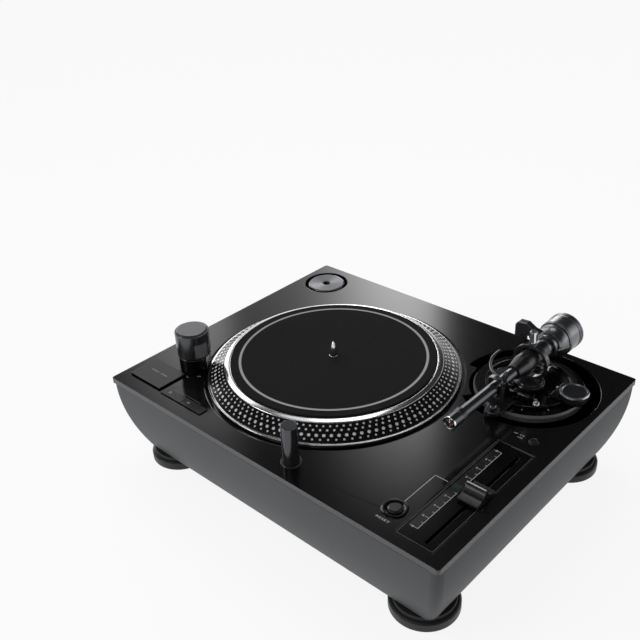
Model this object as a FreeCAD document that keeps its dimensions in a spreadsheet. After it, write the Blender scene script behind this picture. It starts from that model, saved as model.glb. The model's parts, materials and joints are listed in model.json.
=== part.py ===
import FreeCAD, Part
import math
import os
import re
import Sketcher

# Compact direct-drive record deck. Millimetres, up is +Z, the foot pads stand on Z = 0,
# the front edge faces -Y and the middle of the top plate is at X = Y = 0.
doc = FreeCAD.newDocument("Turntable")
sheet = doc.addObject("Spreadsheet::Sheet", "Sizes")

sizes = {
    # clearances shared by every fit
    "shaftPlay": 0.05,
    "slidePlay": 0.3,
    "buttonPlay": 0.4,
    # top plate and body shell
    "plateWidth": 360,
    "plateDepth": 286,
    "plateThick": 5,
    "plateCorner": 3,
    "seamLevel": 84,
    "shellBottom": 13,
    "shellCurve": 157,
    "shellWall": 3,
    "shellCorner": 8,
    "ledgeThick": 3,
    "coverThick": 3,
    "coverInset": 24,
    "coverLedge": 4,
    "strutRadius": 3,
    # feet
    "footSide": 38,
    "footEnd": 37.5,
    "footRadius": 27.6,
    "footNeckRadius": 24.5,
    "footRise": 9.4,
    "footRound": 1.6,
    "footPad": 6.4,
    "studRadius": 4,
    "studLength": 20,
    "bossRadius": 10,
    "bossRise": 20,
    # platter, mat, spindle and motor
    "platterLeft": 152.8,
    "platterFront": 64,
    "wellRadius": 116,
    "wellDepth": 1.5,
    "lipRadius": 112.4,
    "lipLevel": 88.7,
    "lipTop": 91.4,
    "bandFootRadius": 110.4,
    "bandFoot": 92.6,
    "bandHeadRadius": 97,
    "bandHead": 101,
    "bevelRadius": 94,
    "platterTop": 102.4,
    "matRadius": 91.4,
    "matThick": 1.5,
    "matGap": 0.1,
    "rimInner": 103,
    "websUnder": 98.5,
    "webShoulder": 88,
    "hubRadius": 14,
    "hubBottom": 92.8,
    "spindleRadius": 3.6,
    "journalRadius": 4,
    "spindleShoulder": 111,
    "spindleTip": 118,
    "spindleBottom": 48.6,
    "magnetOuter": 60,
    "magnetInner": 46,
    "magnetBottom": 89.4,
    "statorRadius": 43,
    "statorHeight": 4.6,
    "coilRadius": 9.4,
    "bearingRadius": 9,
    "bearingBottom": 45,
    "bearingTop": 91.6,
    "bearingFlange": 22,
    "bearingFlangeThick": 4,
    "bearingFloor": 3.2,
    # single adapter and its cup
    "adapterSide": 28.8,
    "adapterEnd": 31.5,
    "cupRadius": 22.2,
    "cupWall": 2,
    "cupDepth": 11,
    "adapterRadius": 19,
    "adapterHeight": 11,
    # push buttons
    "startSide": 30,
    "startEnd": 29.7,
    "startWidth": 41,
    "startDepth": 29.8,
    "startRise": 1.8,
    "speedSide": 55,
    "speedPitch": 25.75,
    "speedEnd": 17.25,
    "speedDepth": 8.5,
    "speedRise": 1,
    "buttonFlange": 1.5,
    "buttonFlangeLevel": 82.3,
    "buttonTravel": 1.5,
    "resetSide": 58.5,
    "resetEnd": 28.2,
    "resetRadius": 5.5,
    "resetRingRadius": 10.5,
    "resetRingRise": 1,
    "resetRise": 1.6,
    "rangeSide": 22.8,
    "rangeSouth": 64.1,
    "rangeRadius": 4,
    "rangeRise": 0.8,
    # power tower: fixed base and lamp core, turning knob with a window
    "towerWest": 100.2,
    "towerSouth": 75.6,
    "baseRadius": 14.7,
    "baseRise": 15.6,
    "coreRadius": 12,
    "coreRise": 36,
    "knobRadius": 15.2,
    "knobGap": 0.4,
    "knobTop": 39,
    "knobDisc": 13.6,
    "knobDiscRise": 1,
    "windowStart": -35,
    "windowSpan": 49,
    "windowFoot": 17.5,
    "windowHeight": 13,
    "lampRadius": 2.4,
    "lampReach": 8.6,
    # pop-up target light
    "targetEast": 61,
    "targetEnd": 18.7,
    "targetRadius": 6.5,
    "targetRise": 35,
    "targetLength": 46,
    "targetCollar": 8.7,
    "targetCollarRise": 0.9,
    "targetBushWall": 1.6,
    "targetBushBottom": 40,
    # pitch slider
    "panelSide": 28.9,
    "panelEnd": 10.5,
    "panelWidth": 32.6,
    "panelDepth": 130,
    "panelSink": 0.5,
    "panelFlange": 3,
    "slotEast": 7.1,
    "slotSouth": 1.5,
    "slotLength": 116.4,
    "slotWidth": 2.6,
    "stripWest": 9.5,
    "stripWidth": 8,
    "stripLength": 106,
    "stripNorth": 0.5,
    "capSouth": 0.5,
    "capWidth": 17,
    "capHalfLength": 11.6,
    "capCrest": 10,
    "capCrestHalf": 1,
    "capHollow": 2.6,
    "capLip": 1.6,
    "capBase": 0.5,
    "stemWidth": 1.8,
    "stemDepth": 6,
    "faderWidth": 14,
    "faderTop": 80.5,
    "sliderBoardLevel": 66,
    "sliderBoardSide": 38,
    "sliderBoardWidth": 60,
    "sliderBoardBorder": 4.5,
    "sliderBoardBehind": 8.7,
    "boardThick": 1.6,
    "switchWidth": 6,
    # main circuit board and power supply
    "mainBoardLevel": 72,
    "mainBoardSide": 65,
    "mainBoardEnd": 55,
    "mainBoardWidth": 112,
    "mainBoardDepth": 92,
    # rear connector panel
    "rearSide": 110,
    "rearWidth": 120,
    "rearLevel": 32,
    "rearHeight": 36,
    "rearWall": 2.5,
    "rearInset": 14.5,
    "inletEast": 35,
    "inletWidth": 27.5,
    "inletHeight": 20,
    "jackRadius": 4.2,
    "jackLevel": 50,
    "leftJackWest": 32,
    "rightJackWest": 18,
    "groundWest": 47,
    "supplySide": 55,
    "supplyEnd": 85,
    # tonearm base
    "armSide": 65,
    "armEnd": 66.6,
    "recessRadius": 58.8,
    "ledgeRadius": 50.4,
    "ledgeStart": 184,
    "ledgeSpan": 48,
    "housingRadius": 61,
    "housingThick": 2.5,
    "sleeveRadius": 35,
    "sleeveBore": 30,
    "sleeveBottom": 60,
    "ringRadius": 46.9,
    "ringTop": 91.3,
    "boardRadius": 37,
    "boardTop": 92,
    "boardRim": 94,
    "boardRimWidth": 1.8,
    "lobeBottom": 91.8,
    "armLift": 6,
    "skateEast": 40,
    "skateNorth": 2.6,
    "skateRadius": 12.3,
    "skateBaseRadius": 11.2,
    "skateTop": 100,
    "postWest": 1,
    "postSouth": 55.4,
    "liftWest": 15,
    "liftSouth": 14.9,
    "liftBossRadius": 7.8,
    "liftBossTop": 98.6,
    "liftCapTop": 104.6,
    "liftCapThick": 2,
    "liftPostRadius": 2.5,
    "liftPostBottom": 94,
    "cueSouth": 23.1,
    "cueLevel": 95.8,
    "cueRod": 1.2,
    "cueWest": 5,
    "cueEast": 21,
    "cueKnob": 2.9,
    "liftArcRadius": 33.5,
    "liftArcLevel": 109.2,
    "liftArcStart": 172,
    "liftArcSpan": 103,
    "liftRod": 1.3,
    # gimbal and arm
    "gimbalLevel": 114.5,
    "gimbalBore": 13.4,
    "gimbalOuter": 16.3,
    "gimbalTop": 17.5,
    "gimbalHalf": 2.4,
    "tiltLevel": 113,
    "armLevel": 117.8,
    "tubeRadius": 4.75,
    "tubeBore": 3.6,
    "tubeFront": -100.9,
    "sleeveFront": -28.7,
    "sleeveLip": 6.3,
    "blockFront": -14.4,
    "blockBack": 15.6,
    "blockRadius": 9,
    "tiltBossRadius": 2.9,
    "tiltBossReach": 12.2,
    "socketRadius": 4.6,
    "socketBore": 4.05,
    "socketFront": -117.6,
    "socketFloor": -106.4,
    "collarFront": -118.3,
    "collarBack": -101.4,
    "collarOuter": 5.6,
    "collarGrip": 6,
    "stubRadius": 7.5,
    "stubBack": 22.6,
    "shaftRadius": 5,
    "shaftBack": 56.6,
    "bushFront": 29.6,
    "bushBack": 54.6,
    "bushRadius": 7,
    "weightFront": 22.2,
    "weightNeck": 9,
    "weightRing": 10,
    "weightRingBack": 26.2,
    "weightBody": 37.2,
    "weightBack": 59.3,
    "weightRadius": 16.3,
    "dialRadius": 14.3,
    "bracketFront": 3.2,
    "bracketThick": 6,
    "bracketBack": 16.6,
    "columnWest": 16.7,
    "columnWidth": 4.6,
    "screwRadius": 3,
    "screwFoot": 133.5,
    "screwHead": 143.5,
    "pedestalRadius": 12.8,
    "catchBore": 8.3,
    "catchWidth": 5,
    "pinRadius": 1.5,
    "lowerPin": 2,
}

# Places worked out from the sheet, so that each piece keeps its distance from the edge or the
# axis that carries it.
places = {
    "coverHalfWidth": "(plateWidth / 2 - coverInset)",
    "coverHalfDepth": "(plateDepth / 2 - coverInset)",
    "footX": "(plateWidth / 2 - footSide)",
    "footY": "(plateDepth / 2 - footEnd)",
    "platterX": "(plateWidth / 3 - platterLeft)",
    "platterY": "(platterFront - plateDepth / 4)",
    "adapterX": "(adapterSide - plateWidth / 2)",
    "adapterY": "(plateDepth / 2 - adapterEnd)",
    "startX": "(startSide - plateWidth / 2)",
    "startY": "(startEnd - plateDepth / 2)",
    "speedLeft": "(speedSide - plateWidth / 2)",
    "speedMiddle": "(speedLeft + speedPitch)",
    "speedRight": "(speedLeft + 2 * speedPitch)",
    "speedY": "(speedEnd - plateDepth / 2)",
    "towerX": "(platterX - towerWest)",
    "towerY": "(platterY - towerSouth)",
    "targetX": "(platterX + targetEast)",
    "targetY": "(targetEnd - plateDepth / 2)",
    "resetX": "(plateWidth / 2 - resetSide)",
    "resetY": "(resetEnd - plateDepth / 2)",
    "panelX": "(plateWidth / 2 - panelSide)",
    "panelY": "(panelEnd + panelDepth / 2 - plateDepth / 2)",
    "slotX": "(panelX + slotEast)",
    "slotY": "(panelY - slotSouth)",
    "stripX": "(panelX - stripWest)",
    "stripY": "(panelY + stripNorth)",
    "capY": "(panelY - capSouth)",
    "sliderBoardX": "(plateWidth / 2 - sliderBoardSide)",
    "sliderBoardFront": "(panelY - panelDepth / 2 - sliderBoardBorder)",
    "sliderBoardBack": "(armY - rangeSouth + sliderBoardBehind)",
    "mainBoardX": "(mainBoardSide - plateWidth / 2)",
    "mainBoardY": "(mainBoardEnd - plateDepth / 2)",
    "supplyX": "(supplySide - plateWidth / 2)",
    "supplyY": "(plateDepth / 2 - supplyEnd)",
    "rearX": "(rearSide - plateWidth / 2)",
    "rearFace": "(plateDepth / 2 - rearInset)",
    "inletX": "(rearX + inletEast)",
    "leftJackX": "(rearX - leftJackWest)",
    "rightJackX": "(rearX - rightJackWest)",
    "groundX": "(rearX - groundWest)",
    "armX": "(plateWidth / 2 - armSide)",
    "armY": "(plateDepth / 2 - armEnd)",
    "rangeX": "(plateWidth / 2 - rangeSide)",
    "rangeY": "(armY - rangeSouth)",
    "skateX": "(armX + skateEast)",
    "skateY": "(armY + skateNorth)",
    "postX": "(armX - postWest)",
    "postY": "(armY - postSouth)",
    "liftX": "(armX - liftWest)",
    "liftY": "(armY - liftSouth)",
    "cueY": "(armY - cueSouth)",
    "cueLeft": "(armX - cueWest)",
    "cueRight": "(armX + cueEast)",
}

line = 0
for name in sizes:
    line += 1
    sheet.set("A%d" % line, name)
    sheet.set("B%d" % line, str(sizes[name]))
    sheet.setAlias("B%d" % line, name)
doc.recompute()

parts = {}
upward = FreeCAD.Vector(0, 0, 1)
ways = {
    "up": FreeCAD.Rotation(),
    "right": FreeCAD.Rotation(upward, FreeCAD.Vector(1, 0, 0)),
    "back": FreeCAD.Rotation(upward, FreeCAD.Vector(0, 1, 0)),
}


def linked(text):
    def swap(found):
        word = found.group(0)
        if word in places:
            return linked(places[word])
        return "Sizes." + word if word in sizes else word
    return re.sub(r"[A-Za-z]\w*", swap, str(text))


def bind(item, field, text):
    item.setExpression(field, linked(text))


def settle(item, x, y, z):
    bind(item, "Placement.Base.x", x)
    bind(item, "Placement.Base.y", y)
    bind(item, "Placement.Base.z", z)


# A box given by the middle of its footprint and its underside.
def block(x, y, z, width, depth, height):
    item = doc.addObject("Part::Box", "Block")
    bind(item, "Length", width)
    bind(item, "Width", depth)
    bind(item, "Height", height)
    settle(item, "%s - (%s) / 2" % (x, width), "%s - (%s) / 2" % (y, depth), z)
    return item


def drum(x, y, z, radius, height, way="up"):
    item = doc.addObject("Part::Cylinder", "Drum")
    item.Placement = FreeCAD.Placement(FreeCAD.Vector(), ways[way])
    bind(item, "Radius", radius)
    bind(item, "Height", height)
    settle(item, x, y, z)
    return item


# A slice of a drum that starts at an angle from +X and runs counter-clockwise.
def sector(x, y, z, radius, height, start, span):
    item = doc.addObject("Part::Cylinder", "Sector")
    item.Placement = FreeCAD.Placement(FreeCAD.Vector(), FreeCAD.Rotation(upward, 1))
    bind(item, "Radius", radius)
    bind(item, "Height", height)
    bind(item, "Angle", span)
    bind(item, "Placement.Rotation.Angle", start)
    settle(item, x, y, z)
    return item


# A round bar from a point along a direction, which is only its heading.
def rod(x, y, z, heading, radius, length):
    item = doc.addObject("Part::Cylinder", "Rod")
    item.Placement = FreeCAD.Placement(FreeCAD.Vector(), FreeCAD.Rotation(upward, FreeCAD.Vector(*heading)))
    bind(item, "Radius", radius)
    bind(item, "Height", length)
    settle(item, x, y, z)
    return item


def ball(x, y, z, radius):
    item = doc.addObject("Part::Sphere", "Ball")
    bind(item, "Radius", radius)
    settle(item, x, y, z)
    return item


def fuse(*pieces):
    item = doc.addObject("Part::MultiFuse", "Joined")
    item.Shapes = list(pieces)
    return item


def cut(body, *tools):
    item = doc.addObject("Part::Cut", "Trimmed")
    item.Base = body
    item.Tool = fuse(*tools) if len(tools) > 1 else tools[0]
    return item


def common(first, second):
    item = doc.addObject("Part::MultiCommon", "Shared")
    item.Shapes = [first, second]
    return item


def tube(x, y, z, outer, inner, height, way="up"):
    return cut(drum(x, y, z, outer, height, way), drum(x, y, z, inner, height, way))


# A closed outline whose corners are tied to the sheet, drawn on the XZ plane of a body.
def outline(body, plane, corners):
    sketch = body.newObject("Sketcher::SketchObject", "Profile")
    for feature in body.Origin.OriginFeatures:
        if feature.Role == plane:
            sketch.AttachmentSupport = (feature, [""])
    sketch.MapMode = "FlatFace"
    count = len(corners)
    for number in range(count):
        angle = 2 * math.pi * number / count
        after = 2 * math.pi * (number + 1) / count
        start = FreeCAD.Vector(50 + math.cos(angle), 50 + math.sin(angle), 0)
        end = FreeCAD.Vector(50 + math.cos(after), 50 + math.sin(after), 0)
        sketch.addGeometry(Part.LineSegment(start, end))
    for number in range(count):
        follower = (number + 1) % count
        sketch.addConstraint(Sketcher.Constraint("Coincident", number, 2, follower, 1))
    for number, (across, along) in enumerate(corners):
        for kind, text, axis in (("DistanceX", across, -2), ("DistanceY", along, -1)):
            if str(text) == "0":
                sketch.addConstraint(Sketcher.Constraint("PointOnObject", number, 1, axis))
            else:
                place = sketch.addConstraint(Sketcher.Constraint(kind, -1, 1, number, 1, 50.0))
                label = "%s%d" % ("x" if kind == "DistanceX" else "y", number)
                sketch.renameConstraint(place, label)
                bind(sketch, "Constraints." + label, text)
    return sketch


# A solid of revolution: corners are (radius, height) pairs measured from the given point.
def turned(x, y, z, corners, way="up"):
    body = doc.addObject("PartDesign::Body", "Turning")
    sketch = outline(body, "XZ_Plane", corners)
    solid = body.newObject("PartDesign::Revolution", "Revolved")
    solid.Profile = (sketch, [""])
    solid.ReferenceAxis = (sketch, ["V_Axis"])
    solid.Angle = 360
    sketch.Visibility = False
    body.Placement = FreeCAD.Placement(FreeCAD.Vector(), ways[way])
    settle(body, x, y, z)
    return body


# A flat outline pushed to both sides of its own plane by half of the given thickness.
def slab(plane, x, y, z, corners, thick):
    body = doc.addObject("PartDesign::Body", "Padding")
    sketch = outline(body, plane, corners)
    solid = body.newObject("PartDesign::Pad", "Padded")
    solid.Profile = (sketch, [""])
    bind(solid, "Length", thick)
    solid.Midplane = True
    sketch.Visibility = False
    settle(body, x, y, z)
    return body


def finish(name, item):
    item.Label = name
    parts[name] = item
    return item


# Side view of the shell: straight top and bottom joined by two arcs that start upright at the seam.
def bowed(plane, half, inset, bottom, length):
    radius = sizes["shellCurve"] - sizes.get(inset, 0)
    top = sizes["seamLevel"]
    low = sizes[bottom]
    edge = sizes[half] / 2 - sizes.get(inset, 0)
    drop = math.sqrt(radius ** 2 - (top - low) ** 2)
    sketch = doc.addObject("Sketcher::SketchObject", "Bow")
    if plane == "XZ":
        turn = FreeCAD.Rotation(FreeCAD.Vector(1, 0, 0), 90)
    else:
        turn = FreeCAD.Rotation(FreeCAD.Vector(1, 1, 1), 120)
    sketch.Placement = FreeCAD.Placement(FreeCAD.Vector(), turn)
    foot = edge - radius + drop
    bend = math.asin((top - low) / radius)
    middle = FreeCAD.Vector(edge - radius, top, 0)
    other = FreeCAD.Vector(radius - edge, top, 0)
    sketch.addGeometry(Part.LineSegment(FreeCAD.Vector(-edge, top, 0), FreeCAD.Vector(edge, top, 0)))
    sketch.addGeometry(Part.ArcOfCircle(Part.Circle(middle, upward, radius), -bend, 0))
    sketch.addGeometry(Part.LineSegment(FreeCAD.Vector(foot, low, 0), FreeCAD.Vector(-foot, low, 0)))
    sketch.addGeometry(Part.ArcOfCircle(Part.Circle(other, upward, radius), math.pi, math.pi + bend))
    sketch.addConstraint(Sketcher.Constraint("Coincident", 0, 2, 1, 2))
    sketch.addConstraint(Sketcher.Constraint("Coincident", 1, 1, 2, 1))
    sketch.addConstraint(Sketcher.Constraint("Coincident", 2, 2, 3, 2))
    sketch.addConstraint(Sketcher.Constraint("Coincident", 3, 1, 0, 1))
    sketch.addConstraint(Sketcher.Constraint("Horizontal", 2))
    sketch.addConstraint(Sketcher.Constraint("Symmetric", 0, 1, 0, 2, -2))
    ties = (
        ("seam", Sketcher.Constraint("DistanceY", -1, 1, 0, 1, top), "seamLevel"),
        ("low", Sketcher.Constraint("DistanceY", -1, 1, 2, 1, low), bottom),
        ("wide", Sketcher.Constraint("DistanceX", 0, 1, 0, 2, 2 * edge), "%s - 2 * (%s)" % (half, inset)),
        ("bow", Sketcher.Constraint("Radius", 1, radius), "shellCurve - (%s)" % inset),
        ("mirror", Sketcher.Constraint("Radius", 3, radius), "shellCurve - (%s)" % inset),
        ("rise", Sketcher.Constraint("DistanceY", -1, 1, 1, 3, top), "seamLevel"),
        ("level", Sketcher.Constraint("DistanceY", -1, 1, 3, 3, top), "seamLevel"),
    )
    for label, rule, text in ties:
        place = sketch.addConstraint(rule)
        sketch.renameConstraint(place, label)
        bind(sketch, "Constraints." + label, text)
    item = doc.addObject("Part::Extrusion", "Bowed")
    item.Base = sketch
    item.DirMode = "Normal"
    item.Solid = True
    item.Symmetric = True
    bind(item, "LengthFwd", length)
    return item


# The four long edges where neighbouring sides of a solid meet, rounded alike.
def round_uprights(item, radius, least):
    doc.recompute()
    chosen = []
    for number, edge in enumerate(item.Shape.Edges):
        low, high = edge.BoundBox.ZMin, edge.BoundBox.ZMax
        if high - low > least and edge.BoundBox.XLength < least and edge.BoundBox.YLength < least:
            chosen.append((number + 1, radius, radius))
    rounded = doc.addObject("Part::Fillet", "Rounded")
    rounded.Base = item
    rounded.Edges = chosen
    return rounded


def curved_form(inset, bottom):
    front = bowed("XZ", "plateWidth", inset, bottom, "plateDepth * 2")
    side = bowed("YZ", "plateDepth", inset, bottom, "plateWidth * 2")
    return common(front, side)


# Top plate with its sunk platter well, arm recess and the openings of every control.
def top_plate():
    slab_box = block("0", "0", "seamLevel", "plateWidth", "plateDepth", "plateThick")
    plate = round_uprights(slab_box, sizes["plateCorner"], 4.5)
    level = "seamLevel + plateThick"
    well = drum("platterX", "platterY", level + " - wellDepth", "wellRadius", "wellDepth")
    bore = drum("platterX", "platterY", "seamLevel", "bearingRadius", "plateThick")
    outer = drum("armX", "armY", "seamLevel", "recessRadius", "plateThick")
    ledge = sector("armX", "armY", "seamLevel", "recessRadius + 1", "plateThick", "ledgeStart", "ledgeSpan")
    recess = fuse(cut(outer, ledge), drum("armX", "armY", "seamLevel", "ledgeRadius", "plateThick"))
    cup = drum("adapterX", "adapterY", level + " - cupDepth", "cupRadius", "cupDepth")
    start = block("startX", "startY", "seamLevel", "startWidth + 2 * buttonPlay",
                  "startDepth + 2 * buttonPlay", "plateThick")
    speed = block("(speedLeft + speedRight) / 2", "speedY", "seamLevel",
                  "speedRight - speedLeft + 2 * buttonPlay", "speedDepth + 2 * buttonPlay", "plateThick")
    reset = drum("resetX", "resetY", "seamLevel", "resetRadius + buttonPlay", "plateThick")
    pitch_range = drum("rangeX", "rangeY", "seamLevel", "rangeRadius + slidePlay", "plateThick")
    target = drum("targetX", "targetY", "seamLevel", "targetRadius + targetBushWall", "plateThick")
    panel = block("panelX", "panelY", "seamLevel", "panelWidth", "panelDepth", "plateThick")
    wall = drum("adapterX", "adapterY", level + " - cupDepth - cupWall", "cupRadius + cupWall",
                "cupDepth + cupWall - 0.5")
    return cut(fuse(plate, wall), well, bore, recess, cup, start, speed, reset, pitch_range, target, panel)


def plinth_shell():
    outer = round_uprights(curved_form("0", "shellBottom"), sizes["shellCorner"], 40)
    inner = round_uprights(curved_form("shellWall", "shellBottom"), sizes["shellCorner"] - sizes["shellWall"], 40)
    above = block("0", "0", "shellBottom + ledgeThick", "plateWidth", "plateDepth", "seamLevel - shellBottom")
    cavity = common(inner, above)
    opening = block("0", "0", "shellBottom", "2 * (coverHalfWidth - coverLedge)",
                    "2 * (coverHalfDepth - coverLedge)", "ledgeThick")
    window = block("rearX", "rearFace + 10", "rearLevel", "rearWidth", "30", "rearHeight")
    return outer, cut(outer, cavity, opening, window)


def base_cover():
    floor = block("0", "0", "shellBottom + ledgeThick", "2 * coverHalfWidth", "2 * coverHalfDepth", "coverThick")
    solids = [floor]
    bores = []
    for side in ("-1", "1"):
        for end in ("-1", "1"):
            x = "%s * footX" % side
            y = "%s * footY" % end
            solids.append(drum(x, y, "shellBottom + ledgeThick", "bossRadius", "bossRise"))
            bores.append(drum(x, y, "shellBottom + ledgeThick", "studRadius + shaftPlay", "bossRise - 2"))
    return cut(fuse(*solids), *bores)


def foot_cup(side, end):
    top = "shellBottom - slidePlay"
    return turned("%s * footX" % side, "%s * footY" % end, "0", [
        ("0", "0"),
        ("footRadius - footRound", "0"),
        ("footRadius", "footRound"),
        ("footRadius", "footRise - 1"),
        ("footRadius - 1.4", "footRise"),
        ("footNeckRadius", "footRise"),
        ("footNeckRadius", top),
        ("studRadius", top),
        ("studRadius", "footPad"),
        ("0", "footPad"),
    ])


def foot_stud(side, end):
    return drum("%s * footX" % side, "%s * footY" % end, "footPad", "studRadius", "studLength")


def bearing_housing():
    flange = drum("platterX", "platterY", "seamLevel - bearingFlangeThick", "bearingFlange", "bearingFlangeThick")
    body = drum("platterX", "platterY", "bearingBottom", "bearingRadius", "bearingTop - bearingBottom")
    bore = drum("platterX", "platterY", "bearingBottom + bearingFloor", "journalRadius + shaftPlay",
                "bearingTop - bearingBottom")
    return cut(fuse(flange, body), bore)


def motor_stator():
    level = "seamLevel + plateThick - wellDepth"
    ring = tube("platterX", "platterY", level, "statorRadius", "bearingRadius", "1.6")
    yoke = tube("platterX", "platterY", level, "bearingRadius + 9", "bearingRadius", "statorHeight")
    pieces = [ring, yoke]
    coils = 9
    for number in range(coils):
        angle = 2 * math.pi * number / coils
        x = "platterX + (statorRadius - 10) * %.6f" % math.cos(angle)
        y = "platterY + (statorRadius - 10) * %.6f" % math.sin(angle)
        pieces.append(drum(x, y, level, "coilRadius", "statorHeight"))
    return fuse(*pieces)


def platter():
    return turned("platterX", "platterY", "0", [
        ("journalRadius", "hubBottom"),
        ("hubRadius", "hubBottom"),
        ("hubRadius", "websUnder"),
        ("webShoulder", "websUnder"),
        ("rimInner", "bandFoot"),
        ("rimInner", "lipLevel"),
        ("lipRadius - 0.6", "lipLevel"),
        ("lipRadius", "lipLevel + 0.6"),
        ("lipRadius", "lipTop - 0.6"),
        ("lipRadius - 0.6", "lipTop"),
        ("bandFootRadius", "bandFoot - 0.6"),
        ("bandFootRadius - 0.6", "bandFoot"),
        ("bandHeadRadius", "bandHead"),
        ("bevelRadius + 0.6", "platterTop + 0.4"),
        ("bevelRadius - 1.2", "platterTop + 0.4"),
        ("bevelRadius - 2", "platterTop"),
        ("journalRadius", "platterTop"),
    ])


def spindle():
    return turned("platterX", "platterY", "0", [
        ("0", "spindleBottom"),
        ("journalRadius - 0.6", "spindleBottom"),
        ("journalRadius", "spindleBottom + 0.6"),
        ("journalRadius", "platterTop + matGap + matThick"),
        ("spindleRadius", "platterTop + matGap + matThick"),
        ("spindleRadius", "spindleShoulder"),
        ("0.9", "spindleTip - 0.4"),
        ("0", "spindleTip"),
    ])


def rotor_magnet():
    return tube("platterX", "platterY", "magnetBottom", "magnetOuter", "magnetInner", "websUnder - magnetBottom")


def slipmat():
    return tube("platterX", "platterY", "platterTop + matGap", "matRadius", "journalRadius + matGap", "matThick")


def adapter():
    bottom = "0"
    return turned("adapterX", "adapterY", "seamLevel + plateThick - cupDepth + slidePlay", [
        ("spindleRadius + shaftPlay", bottom),
        ("adapterRadius - 1", bottom),
        ("adapterRadius", "1"),
        ("adapterRadius", "adapterHeight - 1"),
        ("adapterRadius - 1", "adapterHeight"),
        ("adapterRadius - 5", "adapterHeight"),
        ("adapterRadius - 7", "adapterHeight - 0.8"),
        ("spindleRadius + 3", "adapterHeight - 0.8"),
        ("spindleRadius + 2", "adapterHeight"),
        ("spindleRadius + shaftPlay", "adapterHeight"),
    ])


# A rectangular push button held from below by a flange under the plate.
def key(x, y, width, depth, rise, side_flange):
    head = block(x, y, "buttonFlangeLevel", width, depth,
                 "seamLevel + plateThick + %s - buttonFlangeLevel" % rise)
    flange = block(x, y, "buttonFlangeLevel", "%s + 2 * (%s)" % (width, side_flange),
                   "%s + 2 * (buttonFlange + buttonPlay)" % depth, "buttonTravel")
    return fuse(head, flange)


def start_button():
    return key("startX", "startY", "startWidth", "startDepth", "startRise", "buttonFlange + buttonPlay")


def speed_button(low, high, left_play, right_play):
    width = "(%s - %s - %s - %s)" % (high, low, left_play, right_play)
    x = "(%s + %s + %s - %s) / 2" % (low, high, left_play, right_play)
    return key(x, "speedY", width, "speedDepth", "speedRise", "0")


def round_button(x, y, radius, rise):
    top = "seamLevel + plateThick + %s - buttonFlangeLevel" % rise
    return turned(x, y, "buttonFlangeLevel", [
        ("0", "0"),
        ("%s + 2" % radius, "0"),
        ("%s + 2" % radius, "buttonTravel"),
        (radius, "buttonTravel"),
        (radius, top + " - 0.7"),
        ("%s - 1.4" % radius, top),
        ("0", top),
    ])


def reset_bezel():
    return turned("resetX", "resetY", "seamLevel + plateThick", [
        ("resetRadius + buttonPlay + 0.6", "0"),
        ("resetRingRadius", "0"),
        ("resetRingRadius - 0.4", "0.5"),
        ("resetRingRadius - 1.6", "resetRingRise"),
        ("resetRadius + 2.4", "resetRingRise"),
        ("resetRadius + buttonPlay + 0.6", "0.4"),
    ])


def lamp_tower():
    level = "seamLevel + plateThick"
    form = turned("towerX", "towerY", level, [
        ("0", "0"),
        ("baseRadius", "0"),
        ("baseRadius", "baseRise - 0.6"),
        ("baseRadius - 0.6", "baseRise"),
        ("coreRadius", "baseRise"),
        ("coreRadius", "coreRise"),
        ("0", "coreRise"),
    ])
    slice_form = sector("towerX", "towerY", level + " + windowFoot", "coreRadius + 1", "windowHeight",
                        "windowStart", "windowSpan")
    niche = cut(slice_form, drum("towerX", "towerY", level + " + windowFoot", "5", "windowHeight"))
    passing = drum("platterX", "platterY", level, "lipRadius + 1.2", "baseRise")
    lamp = drum("towerX + lampReach * 0.985", "towerY - lampReach * 0.174", level + " + windowFoot",
                "lampRadius", "windowHeight")
    return fuse(cut(form, niche, passing), lamp)


def power_knob():
    bottom = "seamLevel + plateThick + baseRise + knobGap"
    top = "knobTop - baseRise - knobGap"
    form = turned("towerX", "towerY", bottom, [
        ("coreRadius + slidePlay", "0"),
        ("knobRadius - 0.3", "0"),
        ("knobRadius", "0.3"),
        ("knobRadius", top + " - 0.4"),
        ("knobRadius - 0.4", top),
        ("knobDisc + 0.4", top),
        ("knobDisc", top + " - 0.6"),
        ("knobDisc", top + " + knobDiscRise - 0.4"),
        ("knobDisc - 0.6", top + " + knobDiscRise"),
        ("0", top + " + knobDiscRise"),
        ("0", "coreRise - baseRise"),
        ("coreRadius + slidePlay", "coreRise - baseRise"),
    ])
    window = sector("towerX", "towerY", "seamLevel + plateThick + windowFoot", "knobRadius + 2",
                    "windowHeight", "windowStart", "windowSpan")
    keep = drum("towerX", "towerY", "seamLevel + plateThick + windowFoot", "coreRadius", "windowHeight")
    return cut(form, cut(window, keep))


def strobe_window():
    level = "seamLevel + plateThick + windowFoot"
    glass = sector("towerX", "towerY", level, "knobRadius - 0.4", "windowHeight", "windowStart", "windowSpan")
    return cut(glass, drum("towerX", "towerY", level, "coreRadius + slidePlay", "windowHeight"))


def target_bush():
    top = "seamLevel + plateThick + targetCollarRise - targetBushBottom"
    return turned("targetX", "targetY", "targetBushBottom", [
        ("0", "0"),
        ("targetRadius + targetBushWall", "0"),
        ("targetRadius + targetBushWall", "seamLevel + plateThick - targetBushBottom"),
        ("targetCollar", "seamLevel + plateThick - targetBushBottom"),
        ("targetCollar - 0.3", top),
        ("targetRadius + shaftPlay", top),
        ("targetRadius + shaftPlay", "1.6"),
        ("0", "1.6"),
    ])


def target_light():
    bottom = "seamLevel + plateThick + targetRise - targetLength"
    body = turned("targetX", "targetY", bottom, [
        ("0", "0"),
        ("targetRadius", "0"),
        ("targetRadius", "targetLength - 0.5"),
        ("targetRadius - 0.5", "targetLength"),
        ("0", "targetLength"),
    ])
    notch = block("targetX - 2", "targetY + 5", bottom + " + targetLength - 4.5", "14", "10", "2.8")
    return cut(body, notch)


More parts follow.
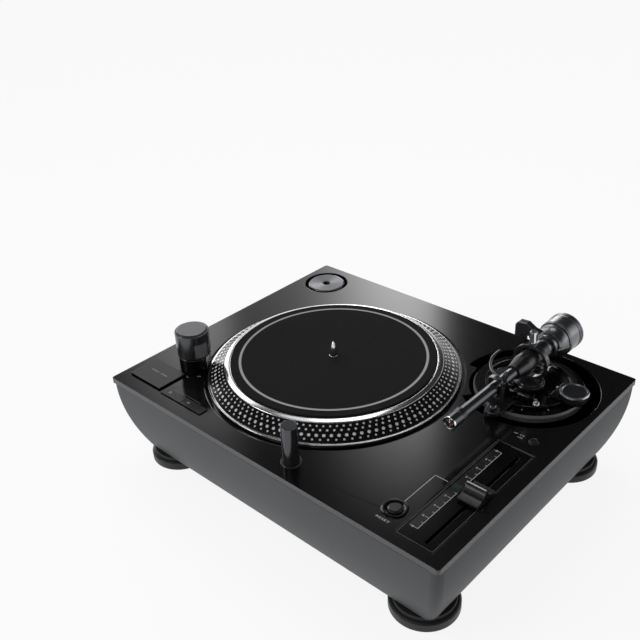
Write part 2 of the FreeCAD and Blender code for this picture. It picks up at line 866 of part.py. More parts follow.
def pitch_panel():
    plate = block("panelX", "panelY", "seamLevel - 1", "panelWidth", "panelDepth", "plateThick + 1 - panelSink")
    flange = block("panelX", "panelY", "seamLevel - 2", "panelWidth + 2 * panelFlange",
                   "panelDepth + 2 * panelFlange", "2")
    slot = block("slotX", "slotY", "seamLevel - 2", "slotWidth", "slotLength", "plateThick + 4")
    strip = block("stripX", "stripY", "seamLevel + plateThick - panelSink - 1", "stripWidth", "stripLength", "2")
    return cut(fuse(plate, flange), slot, strip)


def pitch_scale_strip():
    return block("stripX", "stripY", "seamLevel + plateThick - panelSink - 1", "stripWidth", "stripLength", "1")


def pitch_cap():
    level = "seamLevel + plateThick"
    half = "capHalfLength"
    run = "(capHalfLength - capLip - capCrestHalf)"
    slope = []
    steps = 6
    for number in range(steps + 1):
        angle = math.pi / 2 * number / steps
        across = "capCrestHalf + %s * %.5f" % (run, 1 - math.cos(angle))
        slope.append((across, "capCrest - (capCrest - capHollow) * %.5f" % math.sin(angle)))
    corners = [("0 - " + half, "capBase"), (half, "capBase"), (half, "capHollow")]
    corners += reversed(slope)
    corners += [("0 - (%s)" % across, height) for across, height in slope]
    corners.append(("0 - " + half, "capHollow"))
    knob = slab("YZ_Plane", "slotX", "capY", level, corners, "capWidth")
    stem = block("slotX", "capY", "sliderBoardLevel + boardThick + 3", "stemWidth", "stemDepth",
                 level + " + 1 - sliderBoardLevel - boardThick - 3")
    return fuse(knob, stem)


def fader_body():
    top = "(sliderBoardLevel + boardThick)"
    board = block("sliderBoardX", "(sliderBoardFront + sliderBoardBack) / 2", "sliderBoardLevel",
                  "sliderBoardWidth", "(sliderBoardBack - sliderBoardFront)", "boardThick")
    case = block("slotX", "slotY", top, "faderWidth", "slotLength + 10", "faderTop - " + top)
    channel = block("slotX", "slotY", top + " + 2", "stemWidth + 2 * slidePlay", "slotLength", "faderTop")
    pieces = [board, cut(case, channel)]
    left = "sliderBoardX - sliderBoardWidth / 2 + 4"
    right = "sliderBoardX + sliderBoardWidth / 2 - 4"
    front = "sliderBoardFront + 9"
    back = "armY - housingRadius - strutRadius - 1"
    for x, y in ((left, front), (left, back), (right, back)):
        pieces.append(drum(x, y, top, "strutRadius", "seamLevel - " + top))
    switch = "buttonFlangeLevel - buttonTravel - slidePlay - " + top
    for x, y in (("resetX", "resetY"), ("rangeX", "rangeY")):
        pieces.append(block(x, y, top, "switchWidth", "switchWidth", switch))
    pieces.append(block("slotX - 32", "slotY + 9", top, "8", "14", "2"))
    return fuse(*pieces)


def main_board():
    top = "(mainBoardLevel + boardThick)"
    board = block("mainBoardX", "mainBoardY", "mainBoardLevel", "mainBoardWidth", "mainBoardDepth", "boardThick")
    pieces = [board]
    left = "mainBoardX - mainBoardWidth / 2 + 5"
    right = "mainBoardX + mainBoardWidth / 2 - 5"
    back = "mainBoardY + mainBoardDepth / 2 - 6"
    for x, y in ((left, back), (right, back), (right, "speedY + 12"), ("speedLeft + 14", "speedY + 26")):
        pieces.append(drum(x, y, top, "strutRadius", "seamLevel - " + top))
    switch = "buttonFlangeLevel - buttonTravel - slidePlay - " + top
    for x, y in (("startX", "startY"), ("(speedLeft + speedMiddle) / 2", "speedY"),
                 ("(speedMiddle + speedRight) / 2", "speedY")):
        pieces.append(block(x, y, top, "switchWidth", "switchWidth", switch))
    pieces.append(block("mainBoardX + 20", "mainBoardY + 18", top, "14", "14", "2"))
    pieces.append(block("mainBoardX - 5", "mainBoardY + 22", top, "8", "18", "3"))
    pieces.append(block("mainBoardX - 35", "mainBoardY + 26", top, "16", "6", "8"))
    pieces.append(drum("mainBoardX + 40", "mainBoardY + 3", top, "4", "8"))
    pieces.append(drum("mainBoardX + 40", "mainBoardY - 10", top, "4", "8"))
    return fuse(*pieces)


def power_supply():
    level = "shellBottom + ledgeThick + coverThick"
    base = block("supplyX", "supplyY", level, "74", "62", "2")
    core = block("supplyX", "supplyY", level + " + 2", "50", "42", "38")
    coil = block("supplyX", "supplyY", level + " + 8", "34", "58", "26")
    return fuse(base, core, coil)


def rear_panel(form):
    tray = block("rearX", "rearFace - rearWall + 11.25", "rearLevel", "rearWidth", "22.5", "rearHeight")
    room = block("rearX", "rearFace + 15", "rearLevel + rearWall", "rearWidth - 2 * rearWall", "30",
                 "rearHeight - 2 * rearWall")
    inlet = block("inletX", "rearFace", "jackLevel - inletHeight / 2", "inletWidth", "20", "inletHeight")
    return cut(common(tray, form), room, inlet)


def power_inlet():
    body = block("inletX", "rearFace - 7.5", "jackLevel - inletHeight / 2", "inletWidth", "18", "inletHeight")
    well = block("inletX", "rearFace - 4", "jackLevel - inletHeight / 2 + 2.5", "inletWidth - 5", "14",
                 "inletHeight - 5")
    pieces = [cut(body, well)]
    for x, z in (("inletX - 7", "jackLevel - 3"), ("inletX + 7", "jackLevel - 3"), ("inletX", "jackLevel + 1")):
        pieces.append(block(x, "rearFace - 8", z, "2", "12", "3"))
    return fuse(*pieces)


def rca_jacks():
    plate = block("(leftJackX + rightJackX) / 2", "rearFace + 0.6", "jackLevel - 8", "30", "1.2", "16")
    pieces = [plate]
    for x in ("leftJackX", "rightJackX"):
        pieces.append(drum(x, "rearFace + 1.2", "jackLevel", "jackRadius + 1.4", "2", "back"))
        pieces.append(tube(x, "rearFace + 1.2", "jackLevel", "jackRadius", "jackRadius - 1.2", "8.2", "back"))
    return fuse(*pieces)


def ground_terminal():
    return turned("groundX", "rearFace", "jackLevel", [
        ("0", "0"),
        ("3", "0"),
        ("3", "2"),
        ("4", "2"),
        ("4", "7.4"),
        ("3.4", "8"),
        ("0", "8"),
    ], "back")


def arm_housing():
    level = "seamLevel - housingThick"
    floor = drum("armX", "armY", level, "housingRadius", "housingThick")
    sleeve = drum("armX", "armY", "sleeveBottom", "sleeveRadius", "seamLevel - sleeveBottom")
    bore = drum("armX", "armY", "sleeveBottom", "sleeveBore + shaftPlay", "seamLevel")
    return cut(fuse(floor, sleeve), bore)


def height_ring():
    return turned("armX", "armY", "seamLevel + slidePlay", [
        ("boardRadius + slidePlay", "0"),
        ("ringRadius - 0.8", "0"),
        ("ringRadius", "0.8"),
        ("ringRadius", "ringTop - seamLevel - slidePlay - 1.6"),
        ("ringRadius - 1.2", "ringTop - seamLevel - slidePlay"),
        ("boardRadius + slidePlay", "ringTop - seamLevel - slidePlay"),
    ])


def arm_board():
    disc = turned("armX", "armY", "0", [
        ("sleeveBore - 4", "sleeveBottom + 4"),
        ("sleeveBore", "sleeveBottom + 4"),
        ("sleeveBore", "seamLevel + slidePlay"),
        ("boardRadius", "seamLevel + slidePlay"),
        ("boardRadius", "boardRim"),
        ("boardRadius - boardRimWidth", "boardRim"),
        ("boardRadius - boardRimWidth - 0.4", "boardTop"),
        ("0", "boardTop"),
        ("0", "boardTop - 4"),
        ("sleeveBore - 4", "boardTop - 4"),
    ])
    deck = "boardRim - lobeBottom"
    front = block("postX", "postY + 12", "lobeBottom", "14", "24", deck)
    tip = drum("postX", "postY", "lobeBottom", "7", deck)
    side = block("(armX + skateX) / 2 + 13", "skateY + 1.5", "lobeBottom", "skateX - armX - 20", "24", deck)
    pad = drum("skateX", "skateY", "lobeBottom", "skateBaseRadius", deck)
    saddle = block("cueLeft + 6", "cueY", "boardTop", "3", "5", "cueLevel + 2.4 - boardTop")
    bracket = block("cueRight - 5", "cueY", "boardTop", "3", "5", "cueLevel + 2.4 - boardTop")
    pedestal_bore = drum("armX", "armY", "boardTop - 6", "lowerPin + 0.5", "10")
    cue_bore = drum("cueLeft", "cueY", "cueLevel", "cueRod + shaftPlay", "cueRight - cueLeft", "right")
    return cut(fuse(disc, front, tip, side, pad, saddle, bracket), pedestal_bore, cue_bore)


def pivot_pedestal():
    steps = turned("armX", "armY", "boardTop", [
        ("lowerPin + shaftPlay", "0"),
        ("pedestalRadius", "0"),
        ("pedestalRadius", "2.4"),
        ("pedestalRadius - 0.6", "3"),
        ("11", "3"),
        ("11", "4.2"),
        ("10.6", "4.6"),
        ("lowerPin + shaftPlay", "4.6"),
    ])
    crown = slab("XZ_Plane", "armX", "armY + bracketFront + bracketThick / 2", "boardTop", [
        ("0 - 19.5", "38"),
        ("0 - 19.5", "50"),
        ("0 - 17", "53.4"),
        ("0 - 9", "54"),
        ("0 - 2.6", "50.3"),
        ("4", "49"),
        ("4", "43.5"),
        ("0 - 12", "42.5"),
        ("0 - 16", "38"),
    ], "bracketThick")
    depth = "(bracketBack - bracketFront)"
    x = "armX - columnWest"
    beam = block(x, "armY + bracketFront + %s / 2" % depth, "boardTop + 40.5", "columnWidth", depth, "4.5")
    column = block(x, "armY + bracketBack - 3", "boardTop", "columnWidth", "6", "44")
    sole = block("armX - 13.5", "armY + bracketBack - 6.5", "boardTop", "11", "13", "2.2")
    tongue = block("armX", "armY + bracketFront", "boardTop + 43.5", "8", "7.4", "5.5")
    bore = drum("armX", "armY", "boardTop + 40", "screwRadius + shaftPlay", "14")
    return cut(fuse(steps, crown, beam, column, sole, tongue), bore)


def pivot_screw():
    form = turned("armX", "armY", "tiltLevel", [
        ("0", "gimbalLevel + 16 - tiltLevel"),
        ("pinRadius", "gimbalLevel + 16 - tiltLevel"),
        ("pinRadius", "screwFoot - 1 - tiltLevel"),
        ("pinRadius + 0.8", "screwFoot - 1 - tiltLevel"),
        ("pinRadius + 0.8", "screwFoot - 0.4 - tiltLevel"),
        ("pinRadius", "screwFoot - 0.4 - tiltLevel"),
        ("pinRadius", "screwFoot - tiltLevel"),
        ("screwRadius", "screwFoot - tiltLevel"),
        ("screwRadius", "screwHead - 0.4 - tiltLevel"),
        ("screwRadius - 0.4", "screwHead - tiltLevel"),
        ("0", "screwHead - tiltLevel"),
    ])
    return cut(form, block("armX", "armY", "screwHead - 1.2", "2 * screwRadius + 2", "0.9", "2"))


def gimbal_ring():
    hoop = tube("armX", "armY - gimbalHalf", "gimbalLevel", "gimbalOuter", "gimbalBore", "2 * gimbalHalf", "back")
    crest = drum("armX", "armY", "gimbalLevel + gimbalBore - 0.4", "3.2", "gimbalTop - gimbalBore + 0.4")
    heel = drum("armX", "armY", "gimbalLevel - gimbalTop", "3.2", "gimbalTop - gimbalBore + 0.4")
    lower = drum("armX", "armY", "boardTop - 3", "lowerPin", "gimbalLevel - boardTop + 3 - 15")
    upper = drum("armX", "armY", "gimbalLevel + 15.6", "pinRadius + shaftPlay", "4")
    right = drum("armX + 5", "armY", "tiltLevel", "pinRadius", "10", "right")
    left = drum("armX - 15", "armY", "tiltLevel", "pinRadius", "10", "right")
    head = drum("armX + gimbalOuter - 0.3", "armY", "tiltLevel", "2.8", "1.5", "right")
    return cut(fuse(hoop, crest, heel, lower, right, left, head), upper)


def pivot_block():
    body = turned("armX", "armY", "armLevel", [
        ("tubeRadius", "sleeveFront"),
        ("sleeveLip", "sleeveFront"),
        ("sleeveLip + 0.3", "sleeveFront + 1"),
        ("blockRadius", "blockFront"),
        ("blockRadius", "blockBack"),
        ("shaftRadius", "blockBack"),
        ("shaftRadius", "blockBack - 4"),
        ("tubeRadius", "blockFront + 6"),
    ], "back")
    left = drum("armX - tiltBossReach", "armY", "tiltLevel", "tiltBossRadius", "tiltBossReach - 7", "right")
    right = drum("armX + 7", "armY", "tiltLevel", "tiltBossRadius", "tiltBossReach - 7", "right")
    bore = drum("armX - 14", "armY", "tiltLevel", "pinRadius + shaftPlay", "28", "right")
    return cut(fuse(body, left, right), bore)


def arm_tube():
    length = "blockFront + 6 - tubeFront"
    return tube("armX", "armY + tubeFront", "armLevel", "tubeRadius", "tubeBore", length, "back")


def arm_socket():
    form = turned("armX", "armY", "armLevel", [
        ("0", "socketFloor"),
        ("socketBore", "socketFloor"),
        ("socketBore", "socketFront"),
        ("socketRadius", "socketFront"),
        ("socketRadius", "tubeFront"),
        ("tubeBore", "tubeFront"),
        ("tubeBore", "tubeFront + 8"),
        ("0", "tubeFront + 8"),
    ], "back")
    dimples = []
    for x, z in (("armX - 1.6", "armLevel - 1.6"), ("armX + 1.6", "armLevel - 1.6"),
                 ("armX - 1.6", "armLevel + 1.6"), ("armX + 1.6", "armLevel + 1.6")):
        dimples.append(drum(x, "armY + socketFloor", z, "0.7", "2", "back"))
    return cut(form, *dimples)


def locking_collar():
    return turned("armX", "armY", "armLevel", [
        ("socketRadius + slidePlay", "collarFront"),
        ("collarOuter - 0.4", "collarFront"),
        ("collarOuter", "collarFront + 0.4"),
        ("collarOuter", "collarBack - 6"),
        ("collarGrip", "collarBack - 5"),
        ("collarGrip", "collarBack - 0.4"),
        ("collarGrip - 0.4", "collarBack"),
        ("socketRadius + slidePlay", "collarBack"),
    ], "back")


def rear_stub():
    return turned("armX", "armY", "armLevel", [
        ("0", "blockBack - 4"),
        ("shaftRadius", "blockBack - 4"),
        ("shaftRadius", "blockBack"),
        ("stubRadius", "blockBack"),
        ("stubRadius", "stubBack - 0.6"),
        ("stubRadius - 0.6", "stubBack"),
        ("shaftRadius", "stubBack"),
        ("shaftRadius", "shaftBack - 0.6"),
        ("shaftRadius - 0.6", "shaftBack"),
        ("0", "shaftBack"),
    ], "back")


def weight_bush():
    length = "bushBack - bushFront"
    return tube("armX", "armY + bushFront", "armLevel", "bushRadius", "shaftRadius + shaftPlay", length, "back")


def counterweight():
    return turned("armX", "armY", "armLevel", [
        ("bushRadius + 1", "weightFront"),
        ("weightRing", "weightFront"),
        ("weightRing", "weightRingBack"),
        ("weightNeck", "weightRingBack"),
        ("weightNeck", "weightBody"),
        ("weightRadius - 0.8", "weightBody"),
        ("weightRadius", "weightBody + 0.8"),
        ("weightRadius", "weightBack - 0.8"),
        ("weightRadius - 0.8", "weightBack"),
        ("bushRadius + shaftPlay", "weightBack"),
        ("bushRadius + shaftPlay", "bushFront - 0.4"),
        ("bushRadius + 1", "bushFront - 0.4"),
    ], "back")


def force_dial():
    return turned("armX", "armY", "armLevel", [
        ("weightNeck + slidePlay", "weightRingBack + slidePlay"),
        ("dialRadius - 3.2", "weightRingBack + slidePlay"),
        ("dialRadius", "weightRingBack + slidePlay + 4.5"),
        ("dialRadius", "weightBody - slidePlay"),
        ("weightNeck + slidePlay", "weightBody - slidePlay"),
    ], "back")


def rest_post():
    base = drum("postX", "postY", "boardRim", "6", "1.6")
    knob = ball("postX", "postY", "boardRim + 4", "3.6")
    post = drum("postX", "postY", "boardRim", "2.6", "14")
    low = block("postX + 1.2", "postY", "boardRim + 13.4", "14.6", "4.4", "2.6")
    side = block("postX + 7.7", "postY", "boardRim + 13.4", "1.8", "4.4", "17.6")
    lug = drum("postX + 8.6", "postY - 2.2", "boardRim + 31.4", "1.8", "4.4", "back")
    pin = drum("postX + 8.6", "postY - 3.4", "boardRim + 31.4", "0.8", "6.8", "back")
    slot = block("postX + 8.6", "postY", "boardRim + 29", "6", "2.4", "6")
    return fuse(cut(fuse(base, knob, post, low, side, lug), slot), pin)


# The catch that bends over the arm and hinges on the post's upper pin.
def rest_latch():
    x = "postX + 8.6"
    z = "boardRim + 31.4"
    hub = drum(x, "postY - 0.9", z, "1.7", "1.8", "back")
    arm = block("postX + 4.6", "postY", z + " + 0.8", "8", "1.8", "1.6")
    hoop = tube("armX", "postY - catchWidth / 2", "armLevel", "catchBore + 1.6", "catchBore", "catchWidth", "back")
    band = common(hoop, block("armX - 0.6", "postY", "armLevel", "9.4", "catchWidth", "20"))
    neck = block("postX + 9.6", "postY", z, "2", "1.8", "4")
    tab = block("postX + 9.6", "postY", z + " + 3", "2", "4.4", "6.6")
    pin = drum(x, "postY - 0.9", z, "0.8 + shaftPlay", "1.8", "back")
    return cut(fuse(hub, arm, band, neck, tab), pin)


def lifter_housing():
    return turned("liftX", "liftY", "boardTop", [
        ("liftPostRadius + shaftPlay", "0"),
        ("liftBossRadius", "0"),
        ("liftBossRadius", "liftBossTop - boardTop - 1"),
        ("liftBossRadius - 1", "liftBossTop - boardTop"),
        ("liftPostRadius + shaftPlay", "liftBossTop - boardTop"),
    ])


def anti_skate_knob():
    return turned("skateX", "skateY", "boardRim + slidePlay", [
        ("0", "0"),
        ("skateRadius - 0.6", "0"),
        ("skateRadius", "0.6"),
        ("skateRadius", "skateTop - boardRim - slidePlay - 0.8"),
        ("skateRadius - 0.8", "skateTop - boardRim - slidePlay"),
        ("skateRadius - 2.2", "skateTop - boardRim - slidePlay"),
        ("skateRadius - 2.8", "skateTop - boardRim - slidePlay - 0.5"),
        ("0", "skateTop - boardRim - slidePlay - 0.5"),
    ])


def lift_bar():
    level = "liftCapTop - liftCapThick / 2"
    post = drum("liftX", "liftY", "liftPostBottom", "liftPostRadius", "liftCapTop - liftPostBottom - 1")
    cap = drum("liftX", "liftY", "liftCapTop - liftCapThick", "liftBossRadius", "liftCapThick")
    away = math.hypot(sizes["liftWest"], sizes["liftSouth"])
    east = -sizes["liftWest"] / away
    north = -sizes["liftSouth"] / away
    link = rod("liftX", "liftY", level, (east, north, 0), "liftRod - 0.3", "liftArcRadius - %.4f" % away)
    x = "armX + liftArcRadius * %.6f" % east
    y = "armY + liftArcRadius * %.6f" % north
    riser = drum(x, y, level + " - 0.8", "liftRod - 0.2", "liftArcLevel - (%s) + 0.8" % level)
    arc = doc.addObject("Part::Torus", "Arc")
    arc.Placement = FreeCAD.Placement(FreeCAD.Vector(), FreeCAD.Rotation(upward, 1))
    bind(arc, "Radius1", "liftArcRadius")
    bind(arc, "Radius2", "liftRod")
    bind(arc, "Angle3", "liftArcSpan")
    bind(arc, "Placement.Rotation.Angle", "liftArcStart")
    settle(arc, "armX", "armY", "liftArcLevel")
    return fuse(post, cap, link, riser, arc)


def cue_lever():
    shaft = drum("cueLeft", "cueY", "cueLevel", "cueRod", "cueRight - cueLeft", "right")
    reach = (3.6, -7.4, 2)
    crank = rod("cueRight - 0.6", "cueY", "cueLevel", reach, "0.9", "%.4f" % math.hypot(*reach))
    knob = ball("cueRight + 3", "cueY - 7.4", "cueLevel + 2", "cueKnob")
    return fuse(shaft, crank, knob)


shell_form, shell = plinth_shell()
finish("top_plate", top_plate())
finish("plinth_shell", shell)
finish("base_cover", base_cover())
finish("motor_stator", motor_stator())
finish("bearing_housing", bearing_housing())
finish("main_board", main_board())
finish("power_supply", power_supply())
finish("rear_panel", rear_panel(shell_form))
finish("rca_jacks", rca_jacks())
finish("ground_terminal", ground_terminal())
finish("power_inlet", power_inlet())
finish("pitch_panel", pitch_panel())
finish("pitch_scale_strip", pitch_scale_strip())
finish("fader_body", fader_body())
finish("lamp_tower", lamp_tower())
finish("target_bush", target_bush())
finish("reset_bezel", reset_bezel())
finish("arm_housing", arm_housing())
finish("platter", platter())
finish("rotor_magnet", rotor_magnet())
finish("spindle", spindle())
finish("slipmat", slipmat())
corners = (("front_left", "-1", "-1"), ("front_right", "1", "-1"), ("back_left", "-1", "1"), ("back_right", "1", "1"))
for corner, side, end in corners:
    finish("foot_cup_" + corner, foot_cup(side, end))
    finish("foot_stud_" + corner, foot_stud(side, end))
finish("start_button", start_button())
finish("button_33", speed_button("speedLeft", "speedMiddle", "0", "0.2"))
finish("button_45", speed_button("speedMiddle", "speedRight", "0.2", "0"))
finish("power_knob", power_knob())
finish("strobe_window", strobe_window())
finish("target_light", target_light())
finish("reset_button", round_button("resetX", "resetY", "resetRadius", "resetRise"))
finish("range_button", round_button("rangeX", "rangeY", "rangeRadius", "rangeRise"))
finish("pitch_cap", pitch_cap())
finish("single_adapter", adapter())
finish("height_ring", height_ring())
finish("arm_board", arm_board())
finish("pivot_pedestal", pivot_pedestal())
finish("pivot_screw", pivot_screw())
finish("rest_post", rest_post())
finish("rest_latch", rest_latch())
finish("lifter_housing", lifter_housing())
finish("lift_bar", lift_bar())
finish("cue_lever", cue_lever())
finish("anti_skate_knob", anti_skate_knob())
finish("gimbal_ring", gimbal_ring())
finish("pivot_block", pivot_block())
finish("arm_tube", arm_tube())
finish("arm_socket", arm_socket())
finish("locking_collar", locking_collar())
finish("rear_stub", rear_stub())
finish("weight_bush", weight_bush())
finish("counterweight", counterweight())
finish("force_dial", force_dial())

doc.recompute()

faults = []
for item in doc.Objects:
    if "Invalid" in item.State or "Error" in item.State:
        faults.append("%s (%s): %s" % (item.Label, item.Name, item.State))
for name, item in parts.items():
    shape = item.Shape
    if shape.isNull() or not shape.isValid() or not shape.Solids:
        faults.append(name + ": shape is not a valid solid")
if faults:
    raise RuntimeError("; ".join(faults))

os.makedirs("parts", exist_ok=True)
whole = FreeCAD.BoundBox()
for name, item in parts.items():
    item.Shape.exportStep("parts/" + name + ".step")
    whole.add(item.Shape.BoundBox)
    print(name, len(item.Shape.Solids), round(item.Shape.Volume / 1000, 3))
print(len(parts), "sub-parts", whole)
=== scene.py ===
import json
import math

import bmesh
import bpy
from mathutils import Matrix, Vector


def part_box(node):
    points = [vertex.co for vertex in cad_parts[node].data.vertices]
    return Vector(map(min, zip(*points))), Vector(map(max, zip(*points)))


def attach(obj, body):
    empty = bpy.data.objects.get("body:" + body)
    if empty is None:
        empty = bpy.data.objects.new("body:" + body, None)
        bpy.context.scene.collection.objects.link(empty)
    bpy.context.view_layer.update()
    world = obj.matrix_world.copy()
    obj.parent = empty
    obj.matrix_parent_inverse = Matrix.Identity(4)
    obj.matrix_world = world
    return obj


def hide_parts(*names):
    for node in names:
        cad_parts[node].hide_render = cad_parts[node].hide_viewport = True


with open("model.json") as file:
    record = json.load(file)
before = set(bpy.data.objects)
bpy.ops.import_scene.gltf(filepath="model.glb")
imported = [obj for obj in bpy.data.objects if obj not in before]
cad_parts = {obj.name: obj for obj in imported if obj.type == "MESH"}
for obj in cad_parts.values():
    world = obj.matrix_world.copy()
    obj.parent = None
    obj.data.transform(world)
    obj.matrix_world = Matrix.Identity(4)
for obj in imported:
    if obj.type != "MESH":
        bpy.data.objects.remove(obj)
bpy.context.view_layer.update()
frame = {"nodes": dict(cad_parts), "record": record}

mm = 0.001          # every length below is in millimetres
fullTurn = 2 * math.pi


def span(node):
    low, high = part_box(node)
    return low / mm, high / mm


def middle(node):
    low, high = span(node)
    return (low + high) / 2


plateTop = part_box("pitch_panel")[1].z / mm + 0.5     # the panel lies half a millimetre below the plate
spindleAxis = middle("spindle")
armAxis = middle("arm_tube")
pivot = middle("arm_housing")
bodyOf = {node: body for body, nodes in frame["record"]["behaviour"]["bodies"].items() for node in nodes}


# Camera at the photograph's viewpoint.
camera = {
    "azimuth": 43.564, "elevation": 29.773, "roll": -2.666,
    "target": (-96.817, 57.485, 89), "distance": 846.778,
    "lens": 48.354, "shift": (-0.0159, -0.0027),
}


def addCamera():
    side, lift, tilt = (math.radians(camera[key]) for key in ("azimuth", "elevation", "roll"))
    back = Vector((math.sin(side) * math.cos(lift), -math.cos(side) * math.cos(lift), math.sin(lift)))
    right = Vector((math.cos(side), math.sin(side), 0))
    up = back.cross(right)
    across = math.cos(tilt) * right + math.sin(tilt) * up
    above = math.cos(tilt) * up - math.sin(tilt) * right
    data = bpy.data.cameras.new("camera")
    data.sensor_width = 36
    data.lens = camera["lens"]
    data.shift_x, data.shift_y = camera["shift"]
    data.clip_start = 0.02
    item = bpy.data.objects.new("camera", data)
    bpy.context.scene.collection.objects.link(item)
    place = (Vector(camera["target"]) + camera["distance"] * back) * mm
    item.matrix_world = Matrix.Translation(place) @ Matrix((across, above, back)).transposed().to_4x4()
    bpy.context.scene.camera = item


addCamera()
print("camera placed")


def linear(hexText):
    shares = [int(hexText[place:place + 2], 16) / 255 for place in (1, 3, 5)]
    return tuple(c / 12.92 if c <= 0.04045 else ((c + 0.055) / 1.055) ** 2.4 for c in shares) + (1.0,)


def addNode(tree, kind, settings=None, links=None):
    node = tree.nodes.new("ShaderNode" + kind)
    for field, value in (settings or {}).items():
        if isinstance(field, int) or field in node.inputs:
            node.inputs[field].default_value = value
        else:
            setattr(node, field, value)
    for field, source in (links or {}).items():
        tree.links.new(source, node.inputs[field])
    return node


def startMaterial(name, settings):
    material = bpy.data.materials.new(name)
    material.use_nodes = True
    tree = material.node_tree
    shader = tree.nodes["Principled BSDF"]
    for field, value in settings.items():
        shader.inputs[field].default_value = value
    return material, tree, shader


# Colour drifts slowly between two tones, roughness and relief follow a fine grain.
def addGrain(tree, shader, tones, drift, grain, rough, relief):
    place = addNode(tree, "TexCoord").outputs["Object"]
    slow = addNode(tree, "TexNoise", {"Scale": 1 / (drift * mm), "Detail": 3.0}, {"Vector": place})
    fine = addNode(tree, "TexNoise", {"Scale": 1 / (grain * mm), "Detail": 4.0, "Roughness": 0.6},
                   {"Vector": place})
    blend = addNode(tree, "Mix", {"data_type": "RGBA"}, {0: slow.outputs["Fac"]})
    blend.inputs[6].default_value = linear(tones[0])
    blend.inputs[7].default_value = linear(tones[1])
    tree.links.new(blend.outputs[2], shader.inputs["Base Color"])
    level = addNode(tree, "MapRange", {1: 0.3, 2: 0.7, 3: rough[0], 4: rough[1]}, {0: fine.outputs["Fac"]})
    tree.links.new(level.outputs[0], shader.inputs["Roughness"])
    bump = addNode(tree, "Bump", {"Strength": 1.0, "Distance": relief * mm}, {"Height": fine.outputs["Fac"]})
    tree.links.new(bump.outputs["Normal"], shader.inputs["Normal"])
    return place, blend


# Satin powder coat on the steel top plate: even black with a very fine orange peel.
def powderCoat():
    material, tree, shader = startMaterial("powderCoatedSteel", {"IOR": 1.5, "Specular IOR Level": 0.5})
    addGrain(tree, shader, ("#0a0a0b", "#0e0e0f"), 60, 0.5, (0.11, 0.15), 0.001)
    return material


# Spark-eroded ABS shell: dark grey, with a matte leather-fine texture.
def erodedAbs():
    material, tree, shader = startMaterial("sparkErodedAbs", {"IOR": 1.52, "Specular IOR Level": 0.25})
    addGrain(tree, shader, ("#484a4c", "#4f5153"), 45, 0.6, (0.5, 0.6), 0.012)
    return material


# Moulded ABS for small buttons and sockets: smoother than the shell.
def mouldedAbs():
    material, tree, shader = startMaterial("mouldedBlackAbs", {"IOR": 1.52, "Specular IOR Level": 0.5})
    addGrain(tree, shader, ("#101011", "#161617"), 12, 0.4, (0.24, 0.32), 0.004)
    return material


# Polished acrylic of the pitch panel, the lamp tower and the arm base: deep black with faint haze.
def glossAcrylic():
    material, tree, shader = startMaterial("polishedBlackAcrylic", {"IOR": 1.49, "Specular IOR Level": 0.4})
    addGrain(tree, shader, ("#040405", "#060607"), 20, 1.2, (0.1, 0.15), 0.001)
    return material


# Black anodised aluminium: turned, then dyed, so the machining still shows as a soft sheen.
def anodised():
    material, tree, shader = startMaterial("blackAnodisedAluminium", {"Metallic": 0.85, "IOR": 1.5})
    addGrain(tree, shader, ("#4c4d50", "#555659"), 8, 0.3, (0.16, 0.22), 0.001)
    return material


# Polished aluminium of the platter rim: bright and smooth.
def polishedAluminium():
    material, tree, shader = startMaterial("polishedAluminium", {"Metallic": 1.0})
    addGrain(tree, shader, ("#dcdcde", "#e6e6e8"), 30, 0.6, (0.14, 0.2), 0.0004)
    return material


# Satin aluminium of the single adapter: the lathe rings throw a fan of light.
def turnedAluminium():
    axis = middle("single_adapter")
    material, tree, shader = startMaterial("turnedSatinAluminium", {"Metallic": 1.0, "Anisotropic": 0.9})
    place = addGrain(tree, shader, ("#6c6d70", "#77787b"), 14, 0.4, (0.3, 0.36), 0.0005)[0]
    centred = addNode(tree, "Mapping", {"Location": (-axis.x * mm, -axis.y * mm, 0), "Scale": (1, 1, 0)},
                      {"Vector": place})
    unit = addNode(tree, "VectorMath", {"operation": "NORMALIZE"}, {0: centred.outputs[0]})
    tree.links.new(unit.outputs[0], shader.inputs["Tangent"])
    return material


# Stoving enamel on the platter's sloping band: black, a little duller than the top plate.
def platterEnamel():
    material, tree, shader = startMaterial("platterEnamel", {"IOR": 1.5})
    addGrain(tree, shader, ("#08080a", "#0d0d0f"), 20, 0.7, (0.2, 0.3), 0.003)
    return material


# Machined dots, where the cutter went through the enamel to bright metal.
def machinedDot():
    material, tree, shader = startMaterial("machinedDotAluminium", {"Metallic": 0.6})
    addGrain(tree, shader, ("#e6e6e8", "#f2f2f4"), 5, 0.4, (0.3, 0.4), 0.001)
    return material


felt = {"printRadius": 83.9, "printWidth": 2.2, "printEdge": 0.12, "fibre": 0.35}


